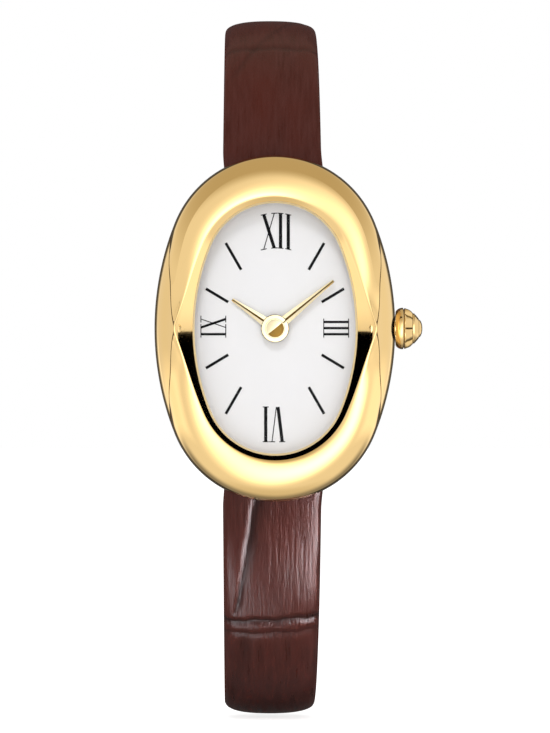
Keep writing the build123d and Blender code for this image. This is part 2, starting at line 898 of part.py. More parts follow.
def make_screws():
    head = z_movement + bridge_level
    tip = z_plate + plate_thickness / 2
    backs = [screw(place, head - screw_head_height, tip) for place in bridge_screw_places]
    front_head = z_cover + cover_thickness + screw_head_height
    fronts = [screw(place, front_head, z_plate + plate_thickness / 2) for place in cover_screw_places]
    return Compound(children=[s for part in backs + fronts for s in part.solids()])


def make_motion_cover():
    """The thin plate that keeps the hour and minute wheels down."""
    low, high = z_cover, z_cover + cover_thickness
    first, second = cover_screw_places
    width = 2 * post_radius
    body = bar_between(first, centre_axis, width, low, high)
    body += bar_between(centre_axis, second, width, low, high)
    body += bar_between(centre_axis, minute_axis, width, low, high)
    body += bar_between(minute_axis, setting_axis, width, low, high)
    for place in (first, second, minute_axis, setting_axis):
        body += post(place, low, high)
    body += disc(centre_axis, hand_hub_radius, low, high)
    body -= disc(centre_axis, hour_pipe_radius + pivot_gap * 2, low - cutter_overrun, high + cutter_overrun)
    for place in (first, second):
        body -= disc(place, screw_radius + pivot_gap, low - cutter_overrun, high + cutter_overrun)
    return body


def make_battery():
    low = z_movement + battery_level
    cap = low + battery_cap_step
    body = disc(battery_place, battery_radius, cap, low + battery_thickness)
    return body + disc(battery_place, battery_radius - battery_cap_inset, low, cap)


def make_battery_clamp():
    """The contact strip that presses on the battery from the back."""
    high = z_movement + battery_level - component_gap
    low = high - clamp_thickness
    body = bar_between(clamp_screw_place, battery_place, clamp_width, low, high)
    body += disc(battery_place, clamp_width / 2, low, high)
    body += disc(clamp_screw_place, clamp_width / 2, low, high) & oval_prism(grown(movement, -fit_gap), low, high)
    return body & oval_prism(grown(movement, -fit_gap), low, high)


def make_stator():
    """The iron plate round the rotor, with an arm to each end of the coil."""
    low = z_movement + stator_level
    high = low + stator_thickness
    left = (coil_place[0] - core_half_length, coil_place[1])
    right = (coil_place[0] + core_half_length, coil_place[1])
    elbow = (right[0], rotor_axis[1] + stator_ring_radius + stator_arm_width / 2)
    start = (rotor_axis[0], elbow[1])
    body = disc(rotor_axis, stator_ring_radius, low, high)
    body += bar_between(rotor_axis, left, stator_arm_width, low, high)
    body += bar_between(rotor_axis, start, stator_arm_width, low, high)
    body += bar_between(start, elbow, stator_arm_width, low, high)
    body += bar_between(elbow, right, stator_arm_width, low, high)
    for place in (left, right, elbow, start):
        body += disc(place, stator_arm_width / 2, low, high)
    body -= disc(rotor_axis, magnet_radius + stator_hole_gap, low - cutter_overrun, high + cutter_overrun)
    return body & oval_prism(grown(movement, -rim_wall - fit_gap), low, high)


def make_coil():
    """Winding on its bobbin: a core bar with round cheeks and the copper between them."""
    z = z_movement + coil_level
    x, y = coil_place
    half = coil_length / 2
    return rod(coil_radius, x - half, x + half, y, z) - make_coil_core_room()


def coil_core_box(grow):
    z = z_movement + stator_level + stator_thickness + core_half_width + component_gap
    x, y = coil_place
    return Pos(x, y, z) * Box(
        2 * (core_half_length + grow), 2 * (core_half_width + grow), 2 * (core_half_width + grow) - component_gap
    )


def make_coil_core_room():
    return coil_core_box(fit_gap)


def make_coil_core():
    core = coil_core_box(0)
    return core & oval_prism(grown(movement, -rim_wall - fit_gap), z_movement, z_dial_seat)


def make_circuit_board():
    low = z_movement + board_level
    high = low + board_thickness
    inside = oval_prism(grown(movement, -board_inset), low, high)
    right = movement.half_width
    width = right - (battery_place[0] + battery_radius * 2 / 3)
    height = movement.half_height - centre_teeth * train_module / 2 + train_module
    corner = Pos(right - width / 2, -movement.half_height + height / 2, (low + high) / 2) * Box(
        width, height, board_thickness
    )
    return (inside & corner) - disc(battery_place, battery_radius + battery_gap, low, high)


def make_chip():
    low = z_movement + board_level + board_thickness
    return Pos(chip_place[0], chip_place[1], low + chip_height / 2) * Box(chip_side, chip_side, chip_height)


def make_quartz():
    """The metal can of the crystal that keeps the time."""
    x, y = quartz_place
    return Pos(x, y - quartz_length / 2, quartz_level) * Rot(-90, 0, 0) * extrude(Circle(quartz_radius), quartz_length)


def make_holder():
    """The plastic ring that fills the space between movement and case."""
    low, high = z_movement, z_dial_seat - dial_gap / 2
    body = oval_prism(grown(bore, -fit_gap), low, high)
    body -= oval_prism(grown(movement, fit_gap), low - cutter_overrun, high + cutter_overrun)
    channel = stem_radius + pivot_gap + component_gap
    side = outline.half_width
    return body - Pos(side / 2, 0, crown_depth) * Box(side, 2 * channel, 2 * channel)


# Setting works
def make_sliding_pinion():
    """The clutch on the stem's square, with end teeth that reach the setting wheel when it slides in."""
    start = clutch_place
    end = start + clutch_length
    body = rod(clutch_radius, start, end, 0, crown_depth)
    groove_start = end - clutch_collar - clutch_groove_width
    groove = rod(clutch_radius + fit_gap, groove_start, end - clutch_collar, 0, crown_depth)
    groove -= rod(clutch_radius - clutch_groove_depth, 0, end, 0, crown_depth)
    body -= groove
    for n in range(clutch_teeth):
        turn = 360 * n / clutch_teeth
        cut = Pos(0, clutch_radius, 0) * Box(clutch_collar, clutch_radius, clutch_collar / 2)
        body -= Pos(start, 0, crown_depth) * Rot(turn, 0, 0) * cut
    hole = 2 * (stem_square_half + clutch_bore_gap)
    return body - Pos(start + clutch_length / 2, 0, crown_depth) * Box(
        clutch_length + cutter_overrun, hole, hole
    )


def make_setting_lever():
    """The lever that follows the stem's groove and holds it in or out."""
    low = z_plate + plate_thickness
    high = low + lever_thickness
    pin = (stem_groove_centre, 0)
    body = bar_between(lever_pivot, pin, lever_arm_width, low, high)
    body += disc(lever_pivot, lever_arm_width / 2, low, high)
    body += disc(pin, lever_arm_width / 2, low, high)
    body += disc(lever_pivot, pivot_radius, z_plate + plate_thickness / 2, low)
    return body + disc(pin, lever_pin_radius, crown_depth + stem_groove_radius + fit_gap, low)


def make_yoke():
    """The arm that pushes the sliding pinion when the lever turns."""
    low = z_plate + plate_thickness
    high = low + lever_thickness
    groove_middle = clutch_place + clutch_length - clutch_collar - clutch_groove_width / 2
    pin = (groove_middle, clutch_radius)
    body = bar_between(yoke_pivot, pin, lever_arm_width, low, high)
    body += disc(yoke_pivot, lever_arm_width / 2, low, high)
    body += disc(pin, lever_arm_width / 2, low, high)
    body += disc(yoke_pivot, pivot_radius, z_plate + plate_thickness / 2, low)
    return body + disc(pin, lever_pin_radius, crown_depth, low)


# Dial and hands
def make_dial():
    body = oval_prism(dial_oval, z_dial_seat, z_dial)
    body -= disc(centre_axis, dial_hole_radius, z_dial_seat - cutter_overrun, z_dial + cutter_overrun)
    for place in foot_places:
        body += disc(place, dial_foot_radius, z_dial_seat - dial_foot_length, z_dial_seat)
    return body


def make_hand(length, angle, low, bore_radius, dome):
    """A faceted hand that tapers from its round hub to a point, along its own middle ridge."""

    def slice_at(distance, width):
        half = width / 2
        ridge = hand_blade_thickness + hand_ridge_height * width / hand_root_width
        outline_points = [(-half, 0), (half, 0), (half, hand_blade_thickness), (0, ridge), (-half, hand_blade_thickness)]
        place = Plane(origin=(0, distance, low), x_dir=(-1, 0, 0), z_dir=(0, 1, 0))
        return place * make_face(Polyline(*outline_points, close=True))

    blade = loft([slice_at(0, hand_root_width), slice_at(length, hand_tip_width)], ruled=True)
    body = blade + disc(centre_axis, hand_hub_radius, low, low + hand_hub_height)
    if dome:
        body += disc(centre_axis, hub_dome_radius, low, low + hand_hub_height + hub_dome_height)
    body -= disc(centre_axis, bore_radius, low - cutter_overrun, low + hand_hub_height - (hub_tip_margin / 2 if dome else -cutter_overrun))
    return Rot(0, 0, -angle) * body


# Strap halves: a path of arcs and straights in the side plane, and slices square to it
def walk(start, side, lean, pieces, distance):
    """Place and heading at a distance along the path. Heading 0 leads away from the case, 90 to the back."""
    y, z = start
    heading = radians(lean)
    left = distance
    for radius, length in pieces:
        step = min(left, length)
        if radius:
            after = heading + step / radius
            y += side * radius * (sin(after) - sin(heading))
            z -= radius * (cos(heading) - cos(after))
            heading = after
        else:
            y += side * step * cos(heading)
            z -= step * sin(heading)
        left -= step
        if left <= 0:
            break
    return y, z, heading


def slice_plane(side, y, z, heading):
    out = (0, side * sin(heading), cos(heading))
    return Plane(origin=(0, y, z), x_dir=(1, 0, 0), z_dir=(0, -out[2], out[1]))


def padded_slice(width, thickness):
    """The leather's section: flat inside, upright edges, round shoulders and a gently crowned outside."""
    half = width / 2
    low = -thickness / 2 + lining_thickness + glue_gap
    radius = min(strap_corner_radius, (thickness - lining_thickness) / 2)
    shoulder = thickness / 2 - strap_crown_rise
    side_top = shoulder - radius
    lean = radius * (1 - cos(pi / 4))
    return make_face(
        [
            Line((-half, low), (half, low)),
            Line((half, low), (half, side_top)),
            ThreePointArc((half, side_top), (half - lean, shoulder - lean), (half - radius, shoulder)),
            ThreePointArc((half - radius, shoulder), (0, thickness / 2), (radius - half, shoulder)),
            ThreePointArc((radius - half, shoulder), (lean - half, shoulder - lean), (-half, side_top)),
            Line((-half, side_top), (-half, low)),
        ]
    )


def lining_slice(width, thickness):
    low = -thickness / 2
    return Pos(0, low + lining_thickness / 2) * Rectangle(width, lining_thickness)


def swept_layer(side, lean, pieces, begin, end, ends, slice_maker):
    """A layer of the strap between two distances, one loft for each arc or straight of its path.
    Ends give width and thickness at the start and finish of the whole path."""
    total = sum(length for _, length in pieces)
    layer = None
    passed = 0
    for radius, length in pieces:
        first, last = max(begin, passed), min(end, passed + length)
        passed += length
        if last - first < glue_gap:
            continue
        count = slices_per_arc if radius else 1
        slices = []
        for n in range(count + 1):
            mark = first + (last - first) * n / count
            share = mark / total
            width = ends[0][0] + (ends[1][0] - ends[0][0]) * share
            thickness = ends[0][1] + (ends[1][1] - ends[0][1]) * share
            y, z, heading = walk((side * bar_y, bar_z), side, lean, pieces, mark)
            slices.append(slice_plane(side, y, z, heading) * slice_maker(width, thickness))
        piece = loft(slices)
        layer = piece if layer is None else layer + piece
    return layer


quarter = pi / 2
upper_pieces = (
    (upper_rise_radius, upper_rise_radius * (quarter - radians(upper_lean))),
    (upper_back_radius, upper_back_radius * quarter),
    (0, upper_straight),
)
upper_length = sum(length for _, length in upper_pieces)
buckle_y, upper_back_z, _ = walk((bar_y, bar_z), 1, upper_lean, upper_pieces, upper_length)
tail_z = upper_back_z - strap_thickness_at_buckle / 2 - tail_gap - tail_thickness / 2
lower_bottom = walk(
    (-bar_y, bar_z), -1, lower_lean,
    ((lower_rise_radius, lower_rise_radius * (quarter - radians(lower_lean))),),
    lower_rise_radius * (quarter - radians(lower_lean)),
)
lower_back_radius = lower_bottom[1] - tail_z
lower_pieces = (
    (lower_rise_radius, lower_rise_radius * (quarter - radians(lower_lean))),
    (lower_back_radius, lower_back_radius * quarter),
    (0, tail_straight),
)
lower_length = sum(length for _, length in lower_pieces)
tail_tip_y, _, _ = walk((-bar_y, bar_z), -1, lower_lean, lower_pieces, lower_length)
upper_ends = (
    (strap_width_at_case, strap_thickness_at_case),
    (strap_width_at_buckle, strap_thickness_at_buckle),
)
lower_ends = (
    (strap_width_at_case, strap_thickness_at_case),
    (strap_width_at_buckle, tail_thickness),
)
tail_outer_z = tail_z - tail_thickness / 2
crossbar_z = tail_outer_z - buckle_tail_gap - buckle_wire_radius


def tip_cutters():
    """What is trimmed off the tail to round its end."""
    radius = strap_width_at_buckle / 2
    depth = 4 * tail_thickness
    centre_y = tail_tip_y - radius
    block = Pos(0, tail_tip_y, tail_z) * Box(4 * radius, 2 * radius, depth)
    return block - Pos(0, centre_y, tail_z) * Cylinder(radius, depth)


hole_y = buckle_y - tongue_ring_radius - tail_hole_length / 2


def hole_cutters():
    """The row of long holes in the tail. The tongue is in one of them."""
    cutters = []
    for n in range(tail_hole_count):
        y = hole_y + (n - tail_hole_count // 2) * tail_hole_pitch
        slot = Pos(0, y, tail_z) * Rot(0, 0, 90) * SlotOverall(tail_hole_length, tail_hole_width)
        cutters.append(extrude(slot, 2 * tail_thickness, both=True))
    return cutters


def make_strap(side):
    upper = side == 1
    lean, pieces = (upper_lean, upper_pieces) if upper else (lower_lean, lower_pieces)
    ends = upper_ends if upper else lower_ends
    total = upper_length if upper else lower_length
    leather = swept_layer(side, lean, pieces, 0, total, ends, padded_slice)
    half = strap_width_at_case / 2
    leather += rod(strap_end_radius, -half, half, side * bar_y, bar_z)
    leather -= rod(bar_radius + bar_bore_gap, -2 * half, 2 * half, side * bar_y, bar_z)
    end = total - buckle_end_radius if upper else total
    lining = swept_layer(side, lean, pieces, lining_start, end, ends, lining_slice)
    if upper:
        half = strap_width_at_buckle / 2
        leather += rod(buckle_end_radius, -half, half, buckle_y, upper_back_z)
        leather -= rod(buckle_bar_radius + bar_bore_gap, -2 * half, 2 * half, buckle_y, upper_back_z)
        slot_half = tongue_width / 2 + tongue_slot_gap
        slot = Pos(0, buckle_y, upper_back_z) * Box(
            2 * slot_half, 3 * tongue_ring_radius, 4 * tongue_ring_radius
        )
        leather -= slot
        lining -= rod(buckle_end_radius + glue_gap, -2 * half, 2 * half, buckle_y, upper_back_z)
        lining -= slot
    else:
        for cutter in [tip_cutters(), *hole_cutters()]:
            leather -= cutter
            lining -= cutter
    return leather, lining


# Spring bars
def make_bar(half_length, radius, y, z):
    bar = rod(radius, -half_length, half_length, y, z)
    return bar - rod(radius - bar_wall, -half_length - cutter_overrun, half_length + cutter_overrun, y, z)


def make_tip(side, half_length, radius, pin_radius, reach, y, z):
    """One sprung end of a bar: a shank inside the tube and a pin that stands out of it."""
    inner = radius - bar_wall - tip_shank_gap
    shank = rod(inner, half_length - tip_shank_length, half_length - tip_shank_gap, y, z)
    tip = shank + rod(pin_radius, half_length - tip_shank_length, reach, y, z)
    return tip if side == 1 else mirror(tip, Plane.YZ)


lug_bar_half = slot_half_width - bar_side_gap
lug_tip_reach = slot_half_width + tip_reach
buckle_inner_half = strap_width_at_buckle / 2 + buckle_side_gap
buckle_bar_half = buckle_inner_half - buckle_side_gap / 2
buckle_tip_radius = buckle_bar_radius - bar_wall - tip_shank_gap * 2
buckle_tip_reach = buckle_inner_half + buckle_wire_radius * 3 / 2


# Buckle
def buckle_plane():
    """The plane of the buckle's frame, from its bar to the crossbar outside the tail."""
    down = (0, -sqrt(buckle_reach**2 - (crossbar_z - upper_back_z) ** 2), crossbar_z - upper_back_z)
    normal = (0, -down[2], down[1])
    return Plane(origin=(0, buckle_y, upper_back_z), x_dir=(1, 0, 0), z_dir=normal)


def make_buckle_frame():
    half = buckle_inner_half + buckle_wire_radius
    place = buckle_plane()
    way = 1 if place.y_dir.Y < 0 else -1
    path = FilletPolyline(
        (-half, 0), (-half, way * buckle_reach), (half, way * buckle_reach), (half, 0), radius=buckle_corner_radius
    )
    path = place * path
    start = Plane(origin=path @ 0, z_dir=path % 0)
    frame = sweep(start * Circle(buckle_wire_radius), path=path)
    for side in (1, -1):
        inner = side * buckle_inner_half
        outer = side * (buckle_inner_half + 2 * buckle_wire_radius)
        frame += rod(buckle_boss_radius, *sorted((inner, outer)), buckle_y, upper_back_z)
    hole = buckle_tip_radius + tip_hole_gap
    reach = buckle_tip_reach + tip_hole_rest
    return frame - rod(hole, -reach, reach, buckle_y, upper_back_z)


def make_buckle_tongue():
    """The pin that goes out through the tail and rests on the crossbar."""
    rest_z = crossbar_z - buckle_wire_radius - tongue_rest_gap - tongue_thickness / 2
    crossbar_y = buckle_y - sqrt(buckle_reach**2 - (crossbar_z - upper_back_z) ** 2)
    clear_z = tail_outer_z - tongue_thickness / 2
    points = [
        (buckle_y, upper_back_z - tongue_ring_radius / 2),
        (hole_y + tail_hole_length / 2 - tongue_hole_gap - tongue_thickness / 2, upper_back_z - tongue_ring_radius),
        (hole_y - tongue_thickness / 2, clear_z - tongue_thickness / 2),
        (crossbar_y + tongue_bend_radius, rest_z),
        (crossbar_y - tongue_overhang, rest_z),
    ]
    side_plane = Plane(origin=(0, 0, 0), x_dir=(0, 1, 0), z_dir=(1, 0, 0))
    path = side_plane * Polyline(*points)
    start = Plane(origin=path @ 0, x_dir=(1, 0, 0), z_dir=path % 0)
    body = sweep(start * Rectangle(tongue_width, tongue_thickness), path=path, transition=Transition.ROUND)
    half = tongue_width / 2
    body += rod(tongue_ring_radius, -half, half, buckle_y, upper_back_z)
    return body - rod(buckle_bar_radius + bar_bore_gap, -2 * half, 2 * half, buckle_y, upper_back_z)


def make_keeper(above_bar, gap):
    """A leather band round both layers of the strap."""
    inner_z = upper_back_z + strap_thickness_at_buckle / 2 + gap
    outer_z = tail_outer_z - gap
    height = inner_z - outer_z
    width = strap_width_at_buckle + 2 * gap + (strap_width_at_case - strap_width_at_buckle) / 2
    centre_y = buckle_y + above_bar
    middle = (inner_z + outer_z) / 2
    band = Pos(0, centre_y, middle) * Box(width + 2 * keeper_wall, keeper_width, height + 2 * keeper_wall)
    band = fillet(band.edges().filter_by(Axis.Y), keeper_wall)
    return band - Pos(0, centre_y, middle) * Box(width, 2 * keeper_width, height)


# Everything is stood up with 12 o'clock on top and the dial facing -Y, then written
def write(name, shape):
    placed = Rot(90, 0, 0) * shape
    export_step(placed, "parts/" + name + ".step")


def build_all():
    os.makedirs("parts", exist_ok=True)
    write("bezel", make_bezel())
    write("crystal", make_crystal())
    write("crystal_gasket", make_crystal_gasket())
    write("middle_case", make_middle_case())
    write("case_back", make_case_back())
    write("case_back_gasket", make_case_back_gasket())
    write("crown_tube", make_crown_tube())
    write("crown", make_crown())
    write("crown_cap", make_crown_cap())
    write("crown_gasket", make_crown_gasket())
    write("stem", make_stem())
    write("movement_holder", make_holder())
    write("main_plate", make_main_plate())
    write("train_bridge", make_train_bridge())
    write("movement_screws", make_screws())
    write("motion_cover", make_motion_cover())
    write("centre_wheel", make_centre_wheel())
    write("cannon_pinion", make_cannon_pinion())
    write("intermediate_wheel", make_intermediate_wheel())
    write("rotor", make_rotor())
    write("minute_wheel", make_minute_wheel())
    write("hour_wheel", make_hour_wheel())
    write("setting_wheel", make_setting_wheel())
    write("sliding_pinion", make_sliding_pinion())
    write("setting_lever", make_setting_lever())
    write("yoke", make_yoke())
    write("battery", make_battery())
    write("battery_clamp", make_battery_clamp())
    write("stator", make_stator())
    write("coil_winding", make_coil())
    write("coil_core", make_coil_core())
    write("circuit_board", make_circuit_board())
    write("timing_chip", make_chip())
    write("quartz_can", make_quartz())
    write("dial", make_dial())
    write("hour_hand", make_hand(hour_hand_length, hour_angle, z_hour_hand, hour_pipe_radius, False))
    write("minute_hand", make_hand(minute_hand_length, minute_angle, z_minute_hand, cannon_outer_radius, True))
    upper_leather, upper_lining = make_strap(1)
    lower_leather, lower_lining = make_strap(-1)
    write("upper_strap", upper_leather)
    write("upper_strap_lining", upper_lining)
    write("lower_strap", lower_leather)
    write("lower_strap_lining", lower_lining)
    for name, y in (("upper", bar_y), ("lower", -bar_y)):
        write(name + "_lug_bar", make_bar(lug_bar_half, bar_radius, y, bar_z))
        for side, hand in ((1, "right"), (-1, "left")):
            tip = make_tip(side, lug_bar_half, bar_radius, tip_radius, lug_tip_reach, y, bar_z)
            write(name + "_lug_bar_" + hand + "_tip", tip)
    write("buckle_bar", make_bar(buckle_bar_half, buckle_bar_radius, buckle_y, upper_back_z))
    for side, hand in ((1, "right"), (-1, "left")):
        tip = make_tip(
            side, buckle_bar_half, buckle_bar_radius, buckle_tip_radius, buckle_tip_reach, buckle_y, upper_back_z
        )
        write("buckle_bar_" + hand + "_tip", tip)
    write("buckle_frame", make_buckle_frame())
    write("buckle_tongue", make_buckle_tongue())
    write("fixed_keeper", make_keeper(fixed_keeper_above_bar, keeper_gap))
    write("sliding_keeper", make_keeper(sliding_keeper_above_bar, keeper_gap))


build_all()
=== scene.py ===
from math import atan2, cos, exp, hypot, pi, radians, sin, sqrt, tan

import bmesh
import bpy
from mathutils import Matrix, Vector


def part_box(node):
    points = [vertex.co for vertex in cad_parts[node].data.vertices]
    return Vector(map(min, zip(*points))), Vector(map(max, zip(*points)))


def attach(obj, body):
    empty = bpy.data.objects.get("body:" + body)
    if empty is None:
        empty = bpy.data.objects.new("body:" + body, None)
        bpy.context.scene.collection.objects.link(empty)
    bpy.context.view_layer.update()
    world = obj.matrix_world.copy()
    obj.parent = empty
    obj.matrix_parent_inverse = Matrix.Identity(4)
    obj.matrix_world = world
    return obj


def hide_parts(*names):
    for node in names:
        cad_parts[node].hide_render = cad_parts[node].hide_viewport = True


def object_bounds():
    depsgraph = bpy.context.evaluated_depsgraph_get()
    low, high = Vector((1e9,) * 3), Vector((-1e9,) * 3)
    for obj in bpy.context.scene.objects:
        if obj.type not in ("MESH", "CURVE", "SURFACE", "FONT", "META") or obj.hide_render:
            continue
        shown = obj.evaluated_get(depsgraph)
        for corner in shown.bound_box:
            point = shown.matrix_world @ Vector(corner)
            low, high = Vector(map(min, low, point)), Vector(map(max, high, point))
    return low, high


# An oval wristwatch on a buckled leather strap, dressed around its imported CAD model.
# Points are worked out lying dial up, in millimetres: x to 3 o'clock, y to 12 o'clock,
# z out of the dial from the case back. place() stands them up in the frame, in metres.

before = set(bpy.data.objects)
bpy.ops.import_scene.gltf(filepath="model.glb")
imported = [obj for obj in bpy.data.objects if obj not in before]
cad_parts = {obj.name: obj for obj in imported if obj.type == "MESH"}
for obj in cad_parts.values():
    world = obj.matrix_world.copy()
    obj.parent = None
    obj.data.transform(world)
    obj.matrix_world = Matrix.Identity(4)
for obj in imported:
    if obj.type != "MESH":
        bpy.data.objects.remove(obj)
cad_low, cad_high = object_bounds()
MM = 0.001
square = ((-1, -1), (1, -1), (1, 1), (-1, 1))


def place(x, y, z):
    return (x * MM, -z * MM, y * MM)


def node_size(node):
    """Half width, half height and highest depth of a CAD node, in millimetres."""
    low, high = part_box(node)
    return high[0] / MM, (high[2] - low[2]) / 2 / MM, -low[1] / MM


# Sizes read from the frame
opening_half_width, opening_half_height, _ = node_size("crystal_gasket")
outline_half_width, outline_half_height, _ = node_size("middle_case")
dial_half_width, dial_half_height, z_dial = node_size("dial")
_, _, z_crystal_top = node_size("crystal")
z_minute_hand = node_size("minute_hand")[2]
z_hour_hand = node_size("hour_hand")[2]

# Bezel: the CAD model's sizes, apart from the bow and the cusp of its joint with the case
opening_round_share = 0.867
case_round_share = 0.895
z_widest = 4.0
z_seat = 5.25
z_lip = 5.9
parting_end = 3.5
parting_peak = 6.2
parting_half_span = 10.9
parting_bow = 0.95
parting_cusp = 0.95
parting_cusp_reach = 1.8
chamfer_waist_width = 1.9
chamfer_end_width = 0.5
chamfer_slope = 40
waist_fade = 3.0
waist_round = 0.35
ridge_waist_round = 0.7
crest_leave_waist = -80
crest_leave_end = 25
crest_reach_waist = 1.3
crest_reach_end = 2.0
flank_reach_waist = 0.8
flank_reach_end = 2.2
flank_fade = 8.5
ridge_round = 0.14

# Camera: the strap is 99 px wide in the photo and 10 mm wide in the model
image_height = 733
pixels_per_mm = 9.9
camera_distance = 1200.0
camera_azimuth = -0.6
view_centre_x = 0.05
view_centre_z = -3.83

# What the metal mirrors: a tent, as angles in degrees or shares of its radius, and a near light
dome_radius = 700.0
band_start = 64.0
band_end = 85.0
band_level = 0.016
dim_color = (0.58, 0.52, 0.40)
side_gain = 0.4
board_gap = 2.5
board_front = 9.2
board_reach = 260.0
board_slope = 0.8
board_turn = 22
light_x, light_y, light_z = 6.5, -35.0, -11.0
light_lean = 64
light_along = 27.0
light_across = 13.0
light_strength = 3.4


# Ovals of four tangent arcs: half width, half height and radius of the end arcs
def oval(half_width, half_height, round_share):
    return half_width, half_height, half_width * round_share


def grown(shape, by):
    return tuple(size + by for size in shape)


def between(start, end, share):
    return start + (end - start) * share

def side_radius(shape):
    a, b, r = shape
    return (a * a + (b - r) ** 2 - r * r) / (2 * (a - r))


def arc_change(shape):
    return atan2(shape[1] - shape[2], side_radius(shape) - shape[0])


def quarter_point(shape, angle):
    a, b, r = shape
    side = side_radius(shape)
    if angle < arc_change(shape):
        return a - side + side * cos(angle), side * sin(angle)
    return r * cos(angle), b - r + r * sin(angle)


def oval_point(shape, angle):
    """The point whose outward direction has this angle, all the way round."""
    c, s = cos(angle), sin(angle)
    x, y = quarter_point(shape, atan2(abs(s), abs(c)))
    return (x if c >= 0 else -x), (y if s >= 0 else -y)


def reach_to(shape, point, direction):
    """How far the oval is from a point of the first quarter, in a direction."""
    a, b, r = shape
    side = side_radius(shape)
    found = 0
    for x, y, radius in ((a - side, 0, side), (0, b - r, r)):
        dx, dy = point[0] - x, point[1] - y
        along = dx * direction[0] + dy * direction[1]
        found = -along + sqrt(along**2 - (dx**2 + dy**2 - radius**2))
        hit = (point[0] + found * direction[0], point[1] + found * direction[1])
        if atan2(hit[1], hit[0] - (a - side)) <= arc_change(shape):
            break
    return found


opening = oval(opening_half_width, opening_half_height, opening_round_share)
outline = oval(outline_half_width, outline_half_height, case_round_share)

# Meshes
def linked(name, data):
    """An object in the scene."""
    thing = bpy.data.objects.new(name, data)
    bpy.context.collection.objects.link(thing)
    return thing


def raw_mesh(name, points, faces):
    """A mesh from points in millimetres, lying dial up."""
    mesh = bpy.data.meshes.new(name)
    mesh.from_pydata([place(*p) for p in points], [], faces)
    return mesh


def turn_outward(mesh, weld=False):
    """Turns the normals outward, after welding points that coincide."""
    work = bmesh.new()
    work.from_mesh(mesh)
    if weld:
        bmesh.ops.remove_doubles(work, verts=work.verts, dist=MM * 0.0005)
    bmesh.ops.recalc_face_normals(work, faces=work.faces)
    work.to_mesh(mesh)
    work.free()


def smooth_faces(mesh, crease):
    mesh.polygons.foreach_set("use_smooth", [True] * len(mesh.polygons))
    mesh.set_sharp_from_angle(angle=radians(crease))


def new_piece(name, points, faces, body, material, replaces=(), crease=35):
    """A mesh object from points in millimetres, riding on a body."""
    return finish_piece(name, raw_mesh(name, points, faces), body, material, replaces, crease)


def finish_piece(name, mesh, body, material, replaces=(), crease=35):
    turn_outward(mesh, weld=True)
    mesh.materials.clear()
    mesh.materials.append(material)
    smooth_faces(mesh, crease)
    piece = linked(name, mesh)
    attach(piece, body)
    if replaces:
        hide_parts(*replaces)
    return piece


def ring_faces(rings, per_ring, closed=True, wrapped=True):
    """Quads between rings of points. Closed joins the last ring to the first, wrapped each ring's ends."""
    faces = []
    for i in range(rings if closed else rings - 1):
        first, after = i * per_ring, (i + 1) % rings * per_ring
        for k in range(per_ring if wrapped else per_ring - 1):
            m = (k + 1) % per_ring
            faces.append((first + k, after + k, after + m, first + m))
    return faces


def tube_faces(rings, per_ring):
    """Quads between rings of points, and a face over either end."""
    last = rings * per_ring - 1
    ends = [tuple(range(per_ring)), tuple(range(last, last - per_ring, -1))]
    return ring_faces(rings, per_ring, closed=False) + ends


def circle(count, shift=0):
    """Cosine and sine of angles all the way round."""
    turns = [2 * pi * (k + shift) / count for k in range(count)]
    return [(cos(turn), sin(turn)) for turn in turns]


def cut_with(piece, crease, *cutters):
    """Cuts meshes out of a piece for good."""
    for cutter in cutters:
        step = piece.modifiers.new("cut", "BOOLEAN")
        step.operation = "DIFFERENCE"
        step.solver = "EXACT"
        step.object = cutter
    graph = bpy.context.evaluated_depsgraph_get()
    made = bpy.data.meshes.new_from_object(piece.evaluated_get(graph))
    piece.modifiers.clear()
    old = piece.data
    piece.data = made
    bpy.data.meshes.remove(old)
    for cutter in cutters:
        bpy.data.objects.remove(cutter)
    smooth_faces(piece.data, crease)


def loose(name, points, faces):
    """A mesh object only used to cut another."""
    mesh = raw_mesh(name, points, faces)
    turn_outward(mesh)
    return linked(name, mesh)


def loose_box(name, middle, half):
    signs = [(i, j, k) for i in (-1, 1) for j in (-1, 1) for k in (-1, 1)]
    points = [tuple(m + sign * h for m, sign, h in zip(middle, corner, half)) for corner in signs]
    faces = [(0, 1, 3, 2), (4, 6, 7, 5), (0, 4, 5, 1), (2, 3, 7, 6), (0, 2, 6, 4), (1, 5, 7, 3)]
    return loose(name, points, faces)


def joined(*shapes):
    """Several shapes' points and faces as one."""
    points, faces = [], []
    for shape_points, shape_faces in shapes:
        start = len(points)
        points += shape_points
        faces += [tuple(start + n for n in face) for face in shape_faces]
    return points, faces


# Materials
def feed(tree, socket, value):
    """Links a socket to another one, or sets it."""
    if isinstance(value, bpy.types.NodeSocket):
        tree.links.new(value, socket)
    else:
        socket.default_value = value


def add(tree, kind, *values, **settings):
    """A node with settings, where names starting with in_ are sockets, and values for its first sockets."""
    node = tree.nodes.new(kind)
    for key, value in settings.items():
        if key.startswith("in_"):
            feed(tree, node.inputs[key[3:].replace("_", " ")], value)
        else:
            setattr(node, key, value)
    for socket, value in zip(node.inputs, values):
        feed(tree, socket, value)
    return node


def new_material(name, color, metallic=0.0, roughness=0.4, **others):
    material = bpy.data.materials.new(name)
    material.use_nodes = True
    shader = material.node_tree.nodes["Principled BSDF"]
    values = {"Base_Color": (*color, 1), "Metallic": metallic, "Roughness": roughness, **others}
    for key, value in values.items():
        shader.inputs[key.replace("_", " ")].default_value = value
    return material, material.node_tree, shader


def object_space(tree, stretch=(1, 1, 1)):
    """Places in millimetres."""
    vector = add(tree, "ShaderNodeTexCoord").outputs["Object"]
    scale = tuple(s / MM for s in stretch)
    return add(tree, "ShaderNodeMapping", in_Vector=vector, in_Scale=scale).outputs["Vector"]


